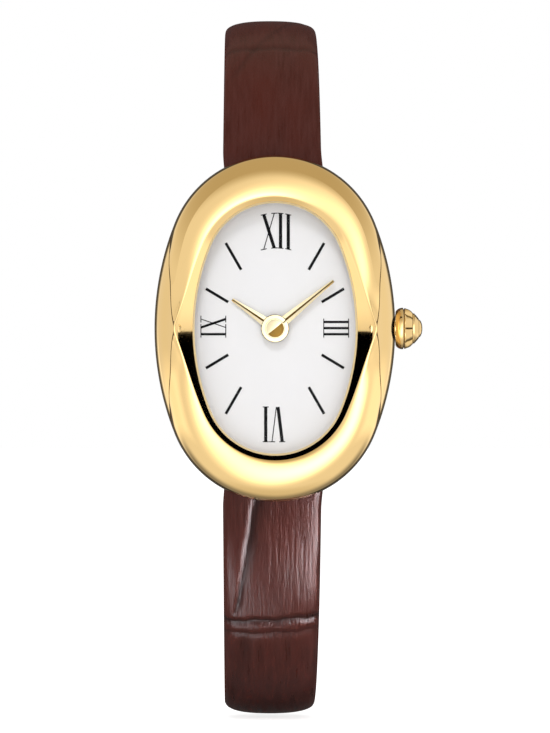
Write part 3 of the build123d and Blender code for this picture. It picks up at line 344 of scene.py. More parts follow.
def uv_space(tree, scale):
    """Places on the strap's flat map, which runs in millimetres."""
    vector = add(tree, "ShaderNodeUVMap", uv_map="leather").outputs["UV"]
    return add(tree, "ShaderNodeMapping", in_Vector=vector, in_Scale=scale).outputs["Vector"]


def noise(tree, vector, scale, detail=4.0, roughness=0.5):
    settings = {"in_Scale": scale, "in_Detail": detail, "in_Roughness": roughness}
    return add(tree, "ShaderNodeTexNoise", in_Vector=vector, **settings).outputs["Fac"]


def remap(tree, value, low, high, to_low=0.0, to_high=1.0, **settings):
    node = add(tree, "ShaderNodeMapRange", value, low, high, to_low, to_high, **settings)
    return node.outputs["Result"]


def blend_colors(tree, share, first, second):
    """A colour between two, each three numbers or a socket."""
    first, second = ((*c, 1) if isinstance(c, tuple) else c for c in (first, second))
    node = add(tree, "ShaderNodeMix", data_type="RGBA", in_Factor=share, in_A=first, in_B=second)
    return node.outputs["Result"]


def bump(tree, shader, height, strength, distance):
    """Relief of a depth in millimetres."""
    node = add(tree, "ShaderNodeBump", in_Strength=strength, in_Distance=distance * MM, in_Height=height)
    feed(tree, shader.inputs["Normal"], node.outputs["Normal"])


def vary_roughness(tree, shader, value, low, high):
    feed(tree, shader.inputs["Roughness"], remap(tree, value, 0.3, 0.7, low, high))


def calculate(tree, operation, first, second=0.0):
    return add(tree, "ShaderNodeMath", first, second, 1.0, operation=operation).outputs["Value"]


def metal(name, color, roughness, spread=0.03, scratches=0.0, stretch=(1, 1, 1)):
    """Polished or brushed metal: its roughness wanders, and fine marks lie along the stretch."""
    material, tree, shader = new_material(name, color, metallic=1.0, roughness=roughness)
    vector = object_space(tree, stretch)
    vary_roughness(tree, shader, noise(tree, vector, 0.35), roughness - spread, roughness + spread)
    if scratches:
        bump(tree, shader, noise(tree, vector, 9.0, 6.0, 0.7), scratches, 0.02)
    return material


def clouded(name, tones, clouds, roughness, grain, **others):
    """A dull stuff with cloudy tones and a fine grain."""
    material, tree, shader = new_material(name, tones[-1], roughness=roughness, **others)
    vector = object_space(tree)
    feed(tree, shader.inputs["Base Color"], blend_colors(tree, noise(tree, vector, *clouds), *tones[:2]))
    size, strength, depth = grain
    bump(tree, shader, noise(tree, vector, *size), strength, depth)
    return material


def plastic(name, color, roughness=0.45):
    tones = (tuple(c * 0.85 for c in color), color)
    return clouded(name, tones, (1.5,), roughness, ((14.0,), 0.1, 0.02), Specular_IOR_Level=0.2)


gold_color = (0.87, 0.61, 0.27)
gold = metal("gold", gold_color, 0.045, 0.01, 0.0012)
gold_brushed = metal("gold_hands", (0.93, 0.8, 0.52), 0.16, 0.02, 0.01, (1, 1, 6))
# Painted shade: a dark copy of the gold, laid on the hands' risers, half the hub cap and the crown's grooves, seam
# and step.
painted_shade_gold = metal("painted_shade_gold", (0.2, 0.115, 0.025), 0.35, 0.05, 0.02)
steel = metal("steel", (0.55, 0.55, 0.54), 0.28, 0.05, 0.15, (1, 1, 8))
inner_steel = metal("inner_steel", (0.5, 0.5, 0.5), 0.3, 0.05, 0.1, (1, 1, 5))
brass = metal("wheel_brass", (0.72, 0.5, 0.2), 0.22, 0.04, 0.1)
copper = metal("copper_wire", (0.72, 0.3, 0.13), 0.3, 0.05, 0.4, (30, 1, 1))
black_rubber = plastic("black_rubber", (0.012, 0.012, 0.012), 0.5)
# Painted shade: a dark brown for the thin ring laid in the joint between bezel and middle case.
painted_shade_seam = plastic("painted_shade_seam", (0.09, 0.05, 0.015), 0.6)
gasket_nylon = plastic("gasket_nylon", (0.72, 0.58, 0.32), 0.4)


def varied(name, color, scale, low, high, **others):
    """Glass or ink, whose roughness wanders between two values."""
    material, tree, shader = new_material(name, color, roughness=(low + high) / 2, **others)
    vary_roughness(tree, shader, noise(tree, object_space(tree), scale), low, high)
    return material


def make_leather(name, tones, roughness=0.32, gloss=0.12):
    """Glazed leather in a dark, a light and a red tone: fine grain, long soft wrinkles, cloudy tones and painted
    shade where it is pressed in.
    """
    dark, light, red = tones
    material, tree, shader = new_material(name, light, roughness=roughness, Specular_IOR_Level=gloss)
    fine = noise(tree, uv_space(tree, (1.0, 0.4, 1)), 6.0, 4.0, 0.6)
    wrinkles = noise(tree, uv_space(tree, (1.5, 0.2, 1)), 1.9, 3.0, 0.5)
    clouds = noise(tree, uv_space(tree, (1.0, 0.5, 1)), 0.3, 3.0)
    whole = calculate(tree, "ADD", calculate(tree, "MULTIPLY", fine, 0.3), wrinkles)
    bump(tree, shader, whole, 0.5, 0.12)
    shade = blend_colors(tree, remap(tree, whole, 0.45, 0.9), dark, light)
    tint = blend_colors(tree, remap(tree, clouds, 0.35, 0.7, 0.0, 0.75), shade, red)
    # Painted shade: the leather darkens where the mesh's pressed attribute says it is pressed in.
    pressed = add(tree, "ShaderNodeAttribute", attribute_name="pressed").outputs["Fac"]
    crease_shade_color = blend_colors(tree, pressed, tint, tuple(c / 3 for c in dark))
    feed(tree, shader.inputs["Base Color"], crease_shade_color)
    vary_roughness(tree, shader, wrinkles, roughness - 0.06, roughness + 0.08)
    return material


glass = varied("crystal_glass", (0.01,) * 3, 0.4, 0.01, 0.03, Alpha=0.03, IOR=1.5, Specular_IOR_Level=0.1)
dial_tones = ((0.79, 0.79, 0.81), (0.83, 0.83, 0.84), (0.86, 0.86, 0.88))
dial_white = clouded("dial_white", dial_tones, (0.15, 2.0), 0.45, ((22.0, 3.0), 0.06, 0.01))
black_print = varied("black_print", (0.004, 0.004, 0.005), 3.0, 0.3, 0.45, Specular_IOR_Level=0.1)
strap_tones = ((0.044, 0.009, 0.006), (0.066, 0.017, 0.013), (0.062, 0.011, 0.007))
edge_tones = ((0.045, 0.012, 0.009), (0.066, 0.02, 0.016), (0.06, 0.013, 0.009))
lining_tones = ((0.13, 0.06, 0.032), (0.22, 0.11, 0.06), (0.2, 0.08, 0.04))
strap_leather = make_leather("strap_leather", strap_tones)
strap_edge = make_leather("strap_edge", edge_tones, 0.7, 0.0)
strap_back = make_leather("strap_back", strap_tones, 0.45, 0.02)
lining_leather = make_leather("lining_leather", lining_tones, 0.55)


# Bezel
def halve(low, high, holds, steps=30):
    """The value up to which a test holds, by halving."""
    for _ in range(steps):
        middle = (low + high) / 2
        low, high = (middle, high) if holds(middle) else (low, middle)
    return low
def parting_height(y):
    """Depth of the joint between bezel and middle case, at a place along the case."""
    along = min(abs(y), parting_half_span) / parting_half_span
    straight = between(parting_peak, parting_end, along)
    cusp = parting_cusp * exp(-(hypot(y, waist_round) - waist_round) / parting_cusp_reach)
    return straight + parting_bow * 4 * along * (1 - along) + cusp

def curve(corners, t):
    """A point of the Bezier curve over some corners."""
    while len(corners) > 1:
        corners = [tuple(between(a, b, t) for a, b in zip(*pair)) for pair in zip(corners, corners[1:])]
    return corners[0]


def bezel_profile(angle):
    """One slice from the inner wall's foot round to the joint, as distance out from the opening and depth."""
    c, s = abs(cos(angle)), abs(sin(angle))
    point = quarter_point(opening, atan2(s, c))
    width = reach_to(outline, point, (c, s))
    waist = exp(-(hypot(point[1], ridge_waist_round) - ridge_waist_round) / waist_fade)
    chamfer = between(chamfer_end_width, chamfer_waist_width, waist)
    leave = radians(between(crest_leave_end, crest_leave_waist, waist))
    crest = between(crest_reach_end, crest_reach_waist, waist)
    flank = between(flank_reach_end, flank_reach_waist, exp(-((point[1] / flank_fade) ** 2)))
    slope = tan(radians(chamfer_slope))
    ridge = (chamfer, z_lip + chamfer * slope)
    corners = (
        ridge,
        (ridge[0] + crest * cos(leave), ridge[1] + crest * sin(leave)),
        (width, z_widest + flank),
        (width, z_widest),
    )

    def swell(t):
        return curve(corners, t)

    def above_parting(t):
        across, depth = swell(t)
        return depth - parting_height(point[1] + across * s)

    last = halve(0.0, 1.0, lambda t: above_parting(t) > 0) if above_parting(1.0) < 0 else 1.0
    start = chamfer * (1 - min(ridge_round / chamfer, 0.6))
    start = (start, z_lip + start * slope)
    swell_start = min(0.05, last / 2)
    after = swell(swell_start)
    line = [(0, z_seat), (0, z_lip)]
    line += [(start[0] * n / 6, z_lip + start[0] * n / 6 * slope) for n in range(1, 6)]
    line += [curve((start, ridge, after), n / 6) for n in range(7)]
    steps = 34
    end = swell(last)
    foot = reach_to(grown(outline, -barrel_tuck(end[1])), point, (c, s))
    drop = parting_height(point[1] + foot * s) - parting_height(point[1] + end[0] * s)
    skirt = max(0.0, above_parting(last)) if last == 1.0 else 0.0
    whole = hypot(end[0] - ridge[0], end[1] - ridge[1]) + skirt
    for n in range(1, steps + 1):
        share = n / steps * whole / (whole - skirt)
        if share <= 1:
            across, depth = swell(between(swell_start, last, share))
            line.append((across + (foot - end[0]) * share**2, depth + drop * share**2))
        else:
            depth = end[1] - (n / steps * whole - whole + skirt)
            line.append((reach_to(grown(outline, -barrel_tuck(depth)), point, (c, s)), depth))
    end = line[-1]
    return [*line, (end[0] - 0.03, end[1] - 0.02), (end[0] - 0.5, end[1] - 0.02)]

def round_angles(per_quarter):
    """Angles round the ring, closer together at the waist."""
    quarter = [pi / 2 * (n / per_quarter) ** 1.5 for n in range(per_quarter)]
    back = [pi - a for a in reversed([*quarter[1:], pi / 2])]
    half = [*quarter, *back]
    return [*half, *(a + pi for a in half)]


def make_bezel():
    angles = round_angles(110)
    points = []
    for angle in angles:
        x, y = oval_point(opening, angle)
        line = bezel_profile(angle)
        c, s = cos(angle), sin(angle)
        points += [(x + across * c, y + across * s, depth) for across, depth in line]
    faces = ring_faces(len(angles), len(line))
    new_piece("bezel_skin", points, faces, "case", gold, ["bezel"], 28)


# Middle case: its levels are pairs of depth and of the tuck in from the widest outline
barrel_levels = (
    (0.5, 0.95), (1.55, 0.342), (2.775, 0.076), (4.0, 0.0),
    (5.365, 0.59), (6.13, 1.24), (6.73, 1.66), (7.4, 2.15),
)
widest_level = 3
seam_height = 0.17
seam_depth = 0.14
bore_half_width = 8.35
bore_half_height = 11.85
strap_slot_half_width = 5.15
slot_inner = 13.05
slot_roof = 3.2
bar_y = 14.45
bar_z = 1.65
crown_z = 2.6


def smooth_level(position):
    """Depth and tuck at a share of the barrel's height, by Catmull-Rom through the levels."""
    last = len(barrel_levels) - 1
    n = min(int(position), last - 1)
    t = position - n
    picks = [barrel_levels[max(0, min(last, n + k))] for k in (-1, 0, 1, 2)]
    return [
        0.5 * (2 * b + (c - a) * t + (2 * a - 5 * b + 4 * c - d) * t * t + (3 * b - a - 3 * c + d) * t**3)
        for a, b, c, d in zip(*picks)
    ]


def barrel_tuck(depth):
    """How far the barrel lies inside its widest outline at a depth."""
    low = halve(0.0, len(barrel_levels) - 1.0, lambda level: smooth_level(level)[0] < depth, 24)
    return smooth_level(low)[1]


def make_middle_case():
    """The barrel under the bezel, its top edge following the joint, with its bore and strap slots cut."""
    angles = round_angles(72)
    steps = 44
    points, seam = [], []
    for angle in angles:

        def below_parting(level):
            depth, tuck = smooth_level(level)
            return depth < parting_height(oval_point(grown(outline, -tuck), angle)[1]) - 0.01

        over_widest = parting_height(oval_point(outline, angle)[1]) >= z_widest
        bounds = (widest_level, len(barrel_levels) - 1.0) if over_widest else (0.0, widest_level)
        end = halve(*bounds, below_parting)
        column = [smooth_level(end * n / steps) for n in range(steps + 1)]
        depth, tuck = column[-1]
        column[-1] = (depth - seam_height, tuck)
        column.append((depth - seam_height / 6, tuck + seam_depth))
        points += [(*oval_point(grown(outline, -inward), angle), level) for level, inward in column]
        # A thin dark ring just outside the joint's groove: painted shade in the joint.
        edge = (column[-2], column[-1], (column[-2][0], column[-1][1]))
        seam += [(*oval_point(grown(outline, 0.004 - inward), angle), level) for level, inward in edge]
        bore = oval_point(oval(bore_half_width, bore_half_height, 0.88), angle)
        points += [(*bore, min(depth, 3.6)), (*bore, 0.5)]
    faces = ring_faces(len(angles), steps + 4)
    new_piece("case_joint_painted_shade", seam, ring_faces(len(angles), 3), "case", painted_shade_seam)
    piece = new_piece("middle_case_skin", points, faces, "case", gold, ["middle_case"], 30)
    half_length = (outline_half_height - slot_inner + 1) / 2
    half = (strap_slot_half_width, half_length, slot_roof / 2 + 0.5)
    middles = [(0, side * (slot_inner + half_length), slot_roof / 2 - 0.5) for side in (1, -1)]
    cut_with(piece, 30, *(loose_box("slot", middle, half) for middle in middles))


# Crystal and dial
def oval_sheet(shape, height_at, rings=14, around=192):
    """A filled oval whose height depends on the place."""
    points = [(0, 0, height_at(0, 0))]
    for n in range(1, rings + 1):
        share = n / rings
        for k in range(around):
            x, y = oval_point(shape, 2 * pi * k / around)
            points.append((x * share, y * share, height_at(x * share, y * share)))
    faces = [(0, 1 + k, 1 + (k + 1) % around) for k in range(around)]
    for n in range(rings - 1):
        for k in range(around):
            m = (k + 1) % around
            a = 1 + n * around
            faces.append((a + k, a + around + k, a + around + m, a + m))
    return points, faces


def closed_sheet(shape, top, bottom, rings=14, around=192):
    """A plate with its own top and bottom heights."""
    upper = oval_sheet(shape, top, rings, around)
    lower = oval_sheet(shape, bottom, rings, around)
    points, faces = joined(upper, lower)
    size = len(upper[0])
    first = size - around
    for k in range(around):
        m = (k + 1) % around
        faces.append((first + k, first + m, first + m + size, first + k + size))
    return points, faces


def make_crystal():
    shape = grown(opening, -0.2)
    ball = (shape[1] ** 2 + 0.28**2) / (2 * 0.28)

    def top(x, y):
        return z_crystal_top - ball + sqrt(ball**2 - x * x - y * y)

    points, faces = closed_sheet(shape, top, lambda x, y: 5.3)
    new_piece("crystal_dome", points, faces, "case", glass, ["crystal"])


def make_dial():
    points, faces = closed_sheet(
        oval(dial_half_width, dial_half_height, 0.87), lambda x, y: z_dial, lambda x, y: z_dial - 0.35, 4
    )
    new_piece("dial_face", points, faces, "case", dial_white, ["dial"])


# Numerals and hour marks, measured in the photo from the middle of the dial
print_thickness = 0.02
stroke_wide = 0.33
stroke_thin = 0.09
serif_half = 0.3
twelve_arch = 0.09
side_serif_half = 0.34


def stroke(start, end, width):
    """A straight stroke as a thin plate on the dial."""
    dx, dy = end[0] - start[0], end[1] - start[1]
    reach = width / 2 / hypot(dx, dy)
    corners = ((start, 1), (end, 1), (end, -1), (start, -1))
    ring = [(x - side * dy * reach, y + side * dx * reach) for (x, y), side in corners]
    points = [(x, y, z_dial + level) for level in (0.002, print_thickness) for x, y in ring]
    return points, [(0, 1, 2, 3), (7, 6, 5, 4), (0, 4, 5, 1), (1, 5, 6, 2), (2, 6, 7, 3), (3, 7, 4, 0)]


def turned(shape, degrees, place_at):
    """A numeral drawn upright about its own middle, turned and put on the dial."""
    points, faces = shape
    c, s = cos(radians(degrees)), sin(radians(degrees))
    return [(place_at[0] + x * c - y * s, place_at[1] + x * s + y * c, z) for x, y, z in points], faces


def serif(x, y, half=serif_half, arch=0.0):
    """A thin foot, tilted to lie along the numeral's arch."""
    tilt = -2 * arch * x
    return stroke((x - half, y - half * tilt), (x + half, y + half * tilt), stroke_thin)


def letter(height, strokes, arch=0.0, half=serif_half, feet=True):
    """Strokes by X at the top, X at the bottom and width, with serifs. Top and bottom follow one arch."""
    shapes = []
    for top_x, bottom_x, width in strokes:
        top = (top_x, height / 2 - arch * top_x**2)
        bottom = (bottom_x, -height / 2 - arch * bottom_x**2)
        shapes.append(stroke(bottom, top, width))
        shapes += [serif(*end, half, arch) for end in ((top, bottom) if feet else (top,))]
    return joined(*shapes)


def letter_i(x, width=stroke_wide):
    return [(x, x, width)]


def letter_x(x, spread, width=stroke_wide):
    left, right = x - spread / 2, x + spread / 2
    return [(left, right, width), (right, left, stroke_thin)]


def letter_v(x, spread):
    quarter = stroke_wide / 4
    return [(x - spread / 2, x - quarter, stroke_wide), (x + spread / 2, x + quarter, stroke_thin)]


numeral_height = 3.5
side_numeral_height = 2.5
side_stroke = 0.24
twelve_place = (0.12, 9.85)
six_place = (-0.12, -9.65)
three_place = (6.16, 0.03)
nine_place = (-6.2, 0.1)
marks = (((4.95, 8.6), (3.4, 5.9)), ((6.95, 4.0), (4.7, 2.65)))
mark_width = 0.28


def make_print():
    twelve = letter(numeral_height, letter_x(-0.72, 1.06) + letter_i(0.44) + letter_i(1.22), twelve_arch)
    six = joined(letter(numeral_height, letter_v(-0.34, 1.03), feet=False), letter(numeral_height, letter_i(0.81)))
    bars = [bar for x in (-0.62, 0.0, 0.61) for bar in letter_i(x, side_stroke)]
    three = letter(side_numeral_height, bars, half=side_serif_half)
    bars = letter_i(-0.68, side_stroke) + letter_x(0.42, 0.85, side_stroke)
    nine = letter(side_numeral_height, bars, half=side_serif_half)
    shapes = [
        turned(twelve, 0, twelve_place),
        turned(six, 180, six_place),
        turned(three, -90, three_place),
        turned(nine, 90, nine_place),
    ]
    for (x, y), (inner_x, inner_y) in marks:
        shapes += [stroke((i * x, j * y), (i * inner_x, j * inner_y), mark_width) for i, j in square]
    points, faces = joined(*shapes)
    new_piece("dial_print", points, faces, "case", black_print)


# Hands
hour_angle = 304.1
minute_angle = 50.8
blade_start = 0.95
blade_root = 1.0
blade_tip = 0.3
blade_edge = 0.06
riser_root = 0.22
riser_tip = 0.1
riser_height = 0.16
hub_profile = ((1.4, 0), (1.4, 0.1), (1.34, 0.16), (1.0, 0.17), (0.96, 0.12), (0.001, 0.12))


def make_hand(name, node, body, length, angle, low, bright):
    """A tapered blade: a nearly flat bright side, a riser along its middle covered by a thin sheet of painted
    shade, and a lower side beyond.
    """
    blade, riser = [], []
    for n in range(9):
        share = n / 8
        y = between(blade_start, length, share)
        half = bright * between(blade_root, blade_tip, share) / 2
        mid = bright * between(riser_root, riser_tip, share) / 2
        edge = low + blade_edge
        top = edge + riser_height * (1 - 0.4 * share)
        foot = edge + 0.04
        blade += [(half, y, low), (half, y, edge), (mid, y, foot)]
        blade += [(-mid, y, top), (-half, y, edge), (-half, y, low)]
        # A thin sheet just over the riser, in the painted-shade gold: painted shade along the hand's middle.
        riser += [(mid, y, foot + 0.004), (-mid, y, top + 0.004), (-mid, y, foot)]
    around = 96
    hub = [(r * x, r * y, low + h) for r, h in hub_profile for x, y in circle(around)]
    blade = joined((blade, tube_faces(9, 6)), (hub, ring_faces(len(hub_profile), around, closed=False)))
    riser = (riser, tube_faces(9, 3))
    c, s = cos(radians(angle)), sin(radians(angle))
    pieces = ((name, blade, gold_brushed, [node]), (name + "_riser", riser, painted_shade_gold, ()))
    for piece_name, (points, faces), material, replaced in pieces:
        points = [(x * c + y * s, -x * s + y * c, z) for x, y, z in points]
        new_piece(piece_name, points, faces, body, material, replaced, 8)


def make_hub_cap(name, low, side, material):
    """Half of the cap over the hands' axis, divided along the minute hand."""
    radius, rise, around = 0.9, 0.06, 40
    profile = ((radius, 0.0), (radius, 0.16), (radius * 0.9, 0.16 + rise * 0.6), (0.02, 0.16 + rise))
    turns = [radians(90 - minute_angle) + side * pi * k / around for k in range(around + 1)]
    points = [(r * cos(turn), r * sin(turn), low + h) for r, h in profile for turn in turns]
    faces = ring_faces(len(profile), around + 1, closed=False, wrapped=False)
    new_piece(name, points, faces, "minute_train", material, (), 30)


# Crown
crown_radius = 2.1
crown_lobes = 8
crown_seam = 0.47
crown_widest = 0.52


def round_crown(name, rings, faces, replaced, crease, shaded):
    """A piece of the crown from rings, each at an X with its points' radii. Faces that pass a test take the
    painted-shade gold.
    """
    points = [
        (x, radius * c, crown_z + radius * s)
        for x, radii in rings for radius, (c, s) in zip(radii, circle(len(radii)))
    ]
    piece = new_piece(name, points, faces, "crown", gold, replaced, crease)
    piece.data.materials.append(painted_shade_gold)
    for face in piece.data.polygons:
        x, y, z = face.center / MM
        face.material_index = int(shaded(x, atan2(-y - crown_z, z)))


def make_crown(start, length):
    """A round barrel with a fine seam round its middle and lobes in front of it."""
    around, steps = 256, 48
    lobe_depths = [1 - abs(sin(crown_lobes * (2 * pi * k / around) / 2)) ** 0.5 for k in range(around)]
    rings = []
    for n in range(steps + 1):
        share = n / steps
        reach, power = (0.67, 3.0) if share < crown_widest else (0.72, 2.1)
        bulge = (1 - (abs(share - crown_widest) / reach) ** power) ** (1 / power)
        bulge -= 0.09 * exp(-(((share - crown_seam) / 0.028) ** 2))
        begin = min(1, max(0, (share - 0.48) / 0.2))
        groove = 0.24 * begin * begin * (3 - 2 * begin)
        radii = [crown_radius * bulge * (1 - groove * depth) for depth in lobe_depths]
        rings.append((start + length * share, radii))

    # Painted shade: the seam, the ring before the cap and the grooves between the front lobes take the
    # painted-shade gold.
    def shaded(x, turn):
        share = (x - start) / length
        on_seam = abs(share - crown_seam) < 0.025 or 0.95 < share < 0.999
        return on_seam or (0.55 < share < 0.999 and abs(sin(crown_lobes * turn / 2)) < 0.22)

    round_crown("crown_body", rings, tube_faces(steps + 1, around), ["crown"], 50, shaded)


def make_crown_neck(start, end):
    """Flutes in the gap between the case and the crown, their grooves in the painted-shade gold: painted shade."""
    around = 192
    radii = [1.22 + 0.2 * abs(cos(crown_lobes * (2 * pi * k / around) / 2)) for k in range(around)]
    round_crown(
        "crown_neck", [(start, radii), (end, radii)], tube_faces(2, around), (), 50,
        lambda x, turn: abs(cos(crown_lobes * turn / 2)) < 0.6,
    )


cap_profile = (
    (-0.02, 1.52), (0.14, 1.52), (0.17, 1.46), (0.3, 1.34), (0.45, 1.16), (0.57, 1.01), (0.6, 0.9),
    (0.7, 0.86), (0.82, 0.7), (0.9, 0.46), (0.945, 0.2), (0.95, 0.001),
)


def make_crown_cap(start, length):
    """A stepped cone with a rounded end."""
    scale = length / cap_profile[-1][0]
    around = 96
    rings = [(start + x * scale, [r] * around) for x, r in cap_profile]
    faces = ring_faces(len(rings), around, closed=False)
    # The step in the cap takes the painted-shade gold: painted shade.
    round_crown(
        "crown_button", rings, faces, ["crown_cap"], 20, lambda x, turn: 0.56 < (x - start) / scale < 0.6
    )


# Strap: its path rises from the case, turns to run down or up behind the wrist, and ends straight
strap_width_at_case = 10.0
strap_width_at_buckle = 8.0
strap_thickness = (2.4, 2.0, 1.7)
lining_thickness = 0.5
lining_begin = 3.4
lining_depth = 0.45
# Dent depth at which the painted shade in the creases is darkest
full_shade_dent = 0.2
tail_gap = 0.35
bulge = 0.3
case_power = 10.0
end_power = 3.9
strap_off_centre = 0.25
strap_lean = {1: 12, -1: 8}
upper_rise_radius = 20.2
upper_turn_radius = 19.0
upper_straight = 13.6
lower_rise_radius = 28.0
lower_straight = 41.0


def walk(side, pieces, distance):
    """Place and heading at a distance along the strap, as in the CAD model."""
    y, z = side * bar_y, bar_z
    heading = radians(strap_lean[side])
    left = distance
    for radius, length in pieces:
        step = min(left, length)
        if radius:
            after = heading + step / radius
            y += side * radius * (sin(after) - sin(heading))
            z -= radius * (cos(heading) - cos(after))
            heading = after
        else:
            y += side * step * cos(heading)
            z -= step * sin(heading)
        left -= step
        if left <= 0:
            break
    return y, z, heading

def bend(radius, degrees):
    return radius, radius * radians(degrees)


def path_length(pieces):
    return sum(length for _, length in pieces)


upper_pieces = (bend(upper_rise_radius, 90 - strap_lean[1]), bend(upper_turn_radius, 90), (0, upper_straight))
upper_length = path_length(upper_pieces)
buckle_y, back_z, _ = walk(1, upper_pieces, upper_length)
tail_z = back_z - strap_thickness[1] / 2 - tail_gap - strap_thickness[2] / 2
lower_rise = bend(lower_rise_radius, 90 - strap_lean[-1])
_, bottom_z, _ = walk(-1, (lower_rise,), lower_rise[1])
lower_pieces = (lower_rise, bend(bottom_z - tail_z, 90), (0, lower_straight))
lower_length = path_length(lower_pieces)
strap_sides = {
    1: (upper_pieces, upper_length, strap_thickness[1]),
    -1: (lower_pieces, lower_length, strap_thickness[2]),
}

def dip(gap, before, after):
    """A soft valley of depth 1 that is steeper before its bottom than after it, or the other way round."""
    return exp(-((gap / (before if gap < 0 else after)) ** 2))

def dent(distance, across, side):
    """How deep the leather is pressed in: cross grooves, a long crease and small pleats, as in the photo."""
    wave = 0.1 * sin(across * 1.7 + 1) + 0.05 * sin(across * 4.1)
    if side == 1:
        depth = 0.07 * dip(distance - 16.4 - wave - 0.02 * across, 0.3, 0.6)
        if distance > 11:
            depth += 0.05 * dip(across + 2.0 + 0.5 * (15.8 - distance), 0.3, 0.4) * min(1, (distance - 11) / 2)
        return depth
    depth = 0.19 * dip(distance - 16.05 - wave + 0.07 * across, 0.35, 0.5)
    depth += 0.1 * dip(distance - 17.65 + wave + 0.05 * across, 0.25, 0.5)
    if distance < 15.8:
        narrow = 1 - 0.035 * distance
        fade = min(1, (15.8 - distance) / 1.5)
        depth += 0.2 * dip(across + 1.35 + 0.15 * distance, 0.42 * narrow, 0.7 * narrow) * fade
    if distance > 17.5:
        depth += 0.07 * dip(across + 2.75 + 0.1 * (distance - 18), 0.5, 0.9) * min(1, (distance - 17.5) / 2)
        depth += 0.02 * (1 + sin(across * 4.4)) * dip(distance - 20.5, 1.4, 2.0)
    return depth


def strap_section(width, thickness, low, power, count=64):
    """A padded outside, as across and out, from left to right. A higher power is more square."""
    height = thickness / 2 - low
    out = []
    for n in range(count + 1):
        share = sin(pi / 2 * (2 * n / count - 1))
        fall = max(0.0, 1 - abs(share) ** power) ** (1 / power)
        out.append((share * width / 2, low + (height - bulge * share * share) * fall))
    return out


def strap_shift(mark):
    """The straps hang a little to the left of the case, as in the photo."""
    share = min(1, mark / 4)
    return -strap_off_centre * share * share * (3 - 2 * share)

def strap_layer(name, side, begin, short, lining, node):
    """The outer leather or the lining of one strap, from a mark to a little short of its end."""
    pieces, total, thickness = strap_sides[side]
    end = total - short
    steps = int((end - begin) * 4)
    points, depths = [], []
    for n in range(steps + 1):
        mark = begin + (end - begin) * n / steps
        share = mark / total
        width = between(strap_width_at_case, strap_width_at_buckle, share)
        thick = between(strap_thickness[0], thickness, share)
        y, z, heading = walk(side, pieces, mark)
        out = (side * sin(heading), cos(heading))
        if lining:
            half, low = width / 2 - 0.02, -thick / 2
            high = low + lining_depth
            section = [(-half, low), (-half, high), (0, high), (half, high), (half, low), (0, low)]
        else:
            power = end_power + (case_power - end_power) / (1 + exp((mark - 15) / 2.5))
            section = strap_section(width, thick, -thick / 2 + lining_thickness, power)
        for across, off in section:
            pressed = 0 if lining or off < 0 else dent(mark, across, side)
            off -= pressed
            points.append((across + strap_shift(mark), y + out[0] * off, z + out[1] * off))
            # Share of the painted shade in the creases, by how deep the leather is pressed in
            depths.append(min(1.0, pressed / full_shade_dent))
    material, slot = (lining_leather, "lining_leather") if lining else (strap_leather, "strap_leather")
    faces = tube_faces(steps + 1, len(section))
    piece = new_piece(name, points, faces, "case", material, [node], 40)
    lay_map(piece, side)
    piece.data.attributes.new("pressed", "FLOAT", "POINT").data.foreach_set("value", depths)
    if not lining:
        piece.data.materials.append(strap_edge)
        piece.data.materials.append(strap_back)
        for face in piece.data.polygons:
            face.material_index = 1 if abs(face.normal[0]) > 0.8 else 2 if face.normal[1] > 0.15 else 0
    return piece

def lay_map(piece, side):
    """A flat map of the strap in millimetres: across it and round the loop."""
    mesh = piece.data
    layer = mesh.uv_layers.new(name="leather")
    for loop in mesh.loops:
        p = mesh.vertices[loop.vertex_index].co
        y, z = p[2] / MM, -p[1] / MM
        turn = atan2(y * side, -z - 2)
        layer.data[loop.index].uv = (p[0] / MM + side * 40 + (z + 20) * 0.02, turn * 27)

def hump(name, y, z, radius, half):
    """The strap's end, folded round its bar."""
    around = 48
    points = [(x, y + radius * c, z + radius * s) for x in (-half, half) for c, s in circle(around)]
    piece = new_piece(name, points, tube_faces(2, around), "case", strap_leather, (), 40)
    lay_map(piece, 1 if y > 0 else -1)


def make_straps():
    upper = strap_layer("strap_upper_leather", 1, 0, 0, False, "upper_strap")
    strap_layer("strap_upper_lining", 1, lining_begin, 1.1, True, "upper_strap_lining")
    lower = strap_layer("strap_lower_leather", -1, 0, 0, False, "lower_strap")
    lining = strap_layer("strap_lower_lining", -1, lining_begin, 0, True, "lower_strap_lining")
    hump("strap_upper_end", bar_y, bar_z, 1.3, strap_width_at_case / 2)
    hump("strap_lower_end", -bar_y, bar_z, 1.3, strap_width_at_case / 2)
    hump("strap_buckle_end", buckle_y, back_z, 1.1, strap_width_at_buckle / 2)
    for piece in (lower, lining):
        cutters = tail_cutters()
        for cutter in cutters:
            cutter.data.polygons.foreach_set("material_index", [1] * len(cutter.data.polygons))
        cut_with(piece, 40, *cutters)
    # Room for the tongue in the lining, and the slot that it passes through
    cut_with(lining, 40, loose_box("room", (0, buckle_y - 1.0, back_z - 1.35), (0.75, 0.9, 0.6)))
    cut_with(upper, 40, loose_box("slot", (0, buckle_y, back_z), (0.8, 1.5, 2.0)))

tail_hole_length = 2.9
tail_hole_width = 1.5
tail_hole_pitch = 5.2
hole_y = buckle_y - 1.0 - tail_hole_length / 2

def tail_cutter(name, ring):
    """A plate through the tail, from the ring of its outline."""
    points = [(x, y, tail_z + depth) for depth in (-2, 2) for x, y in ring]
    return loose(name, points, tube_faces(2, len(ring)))


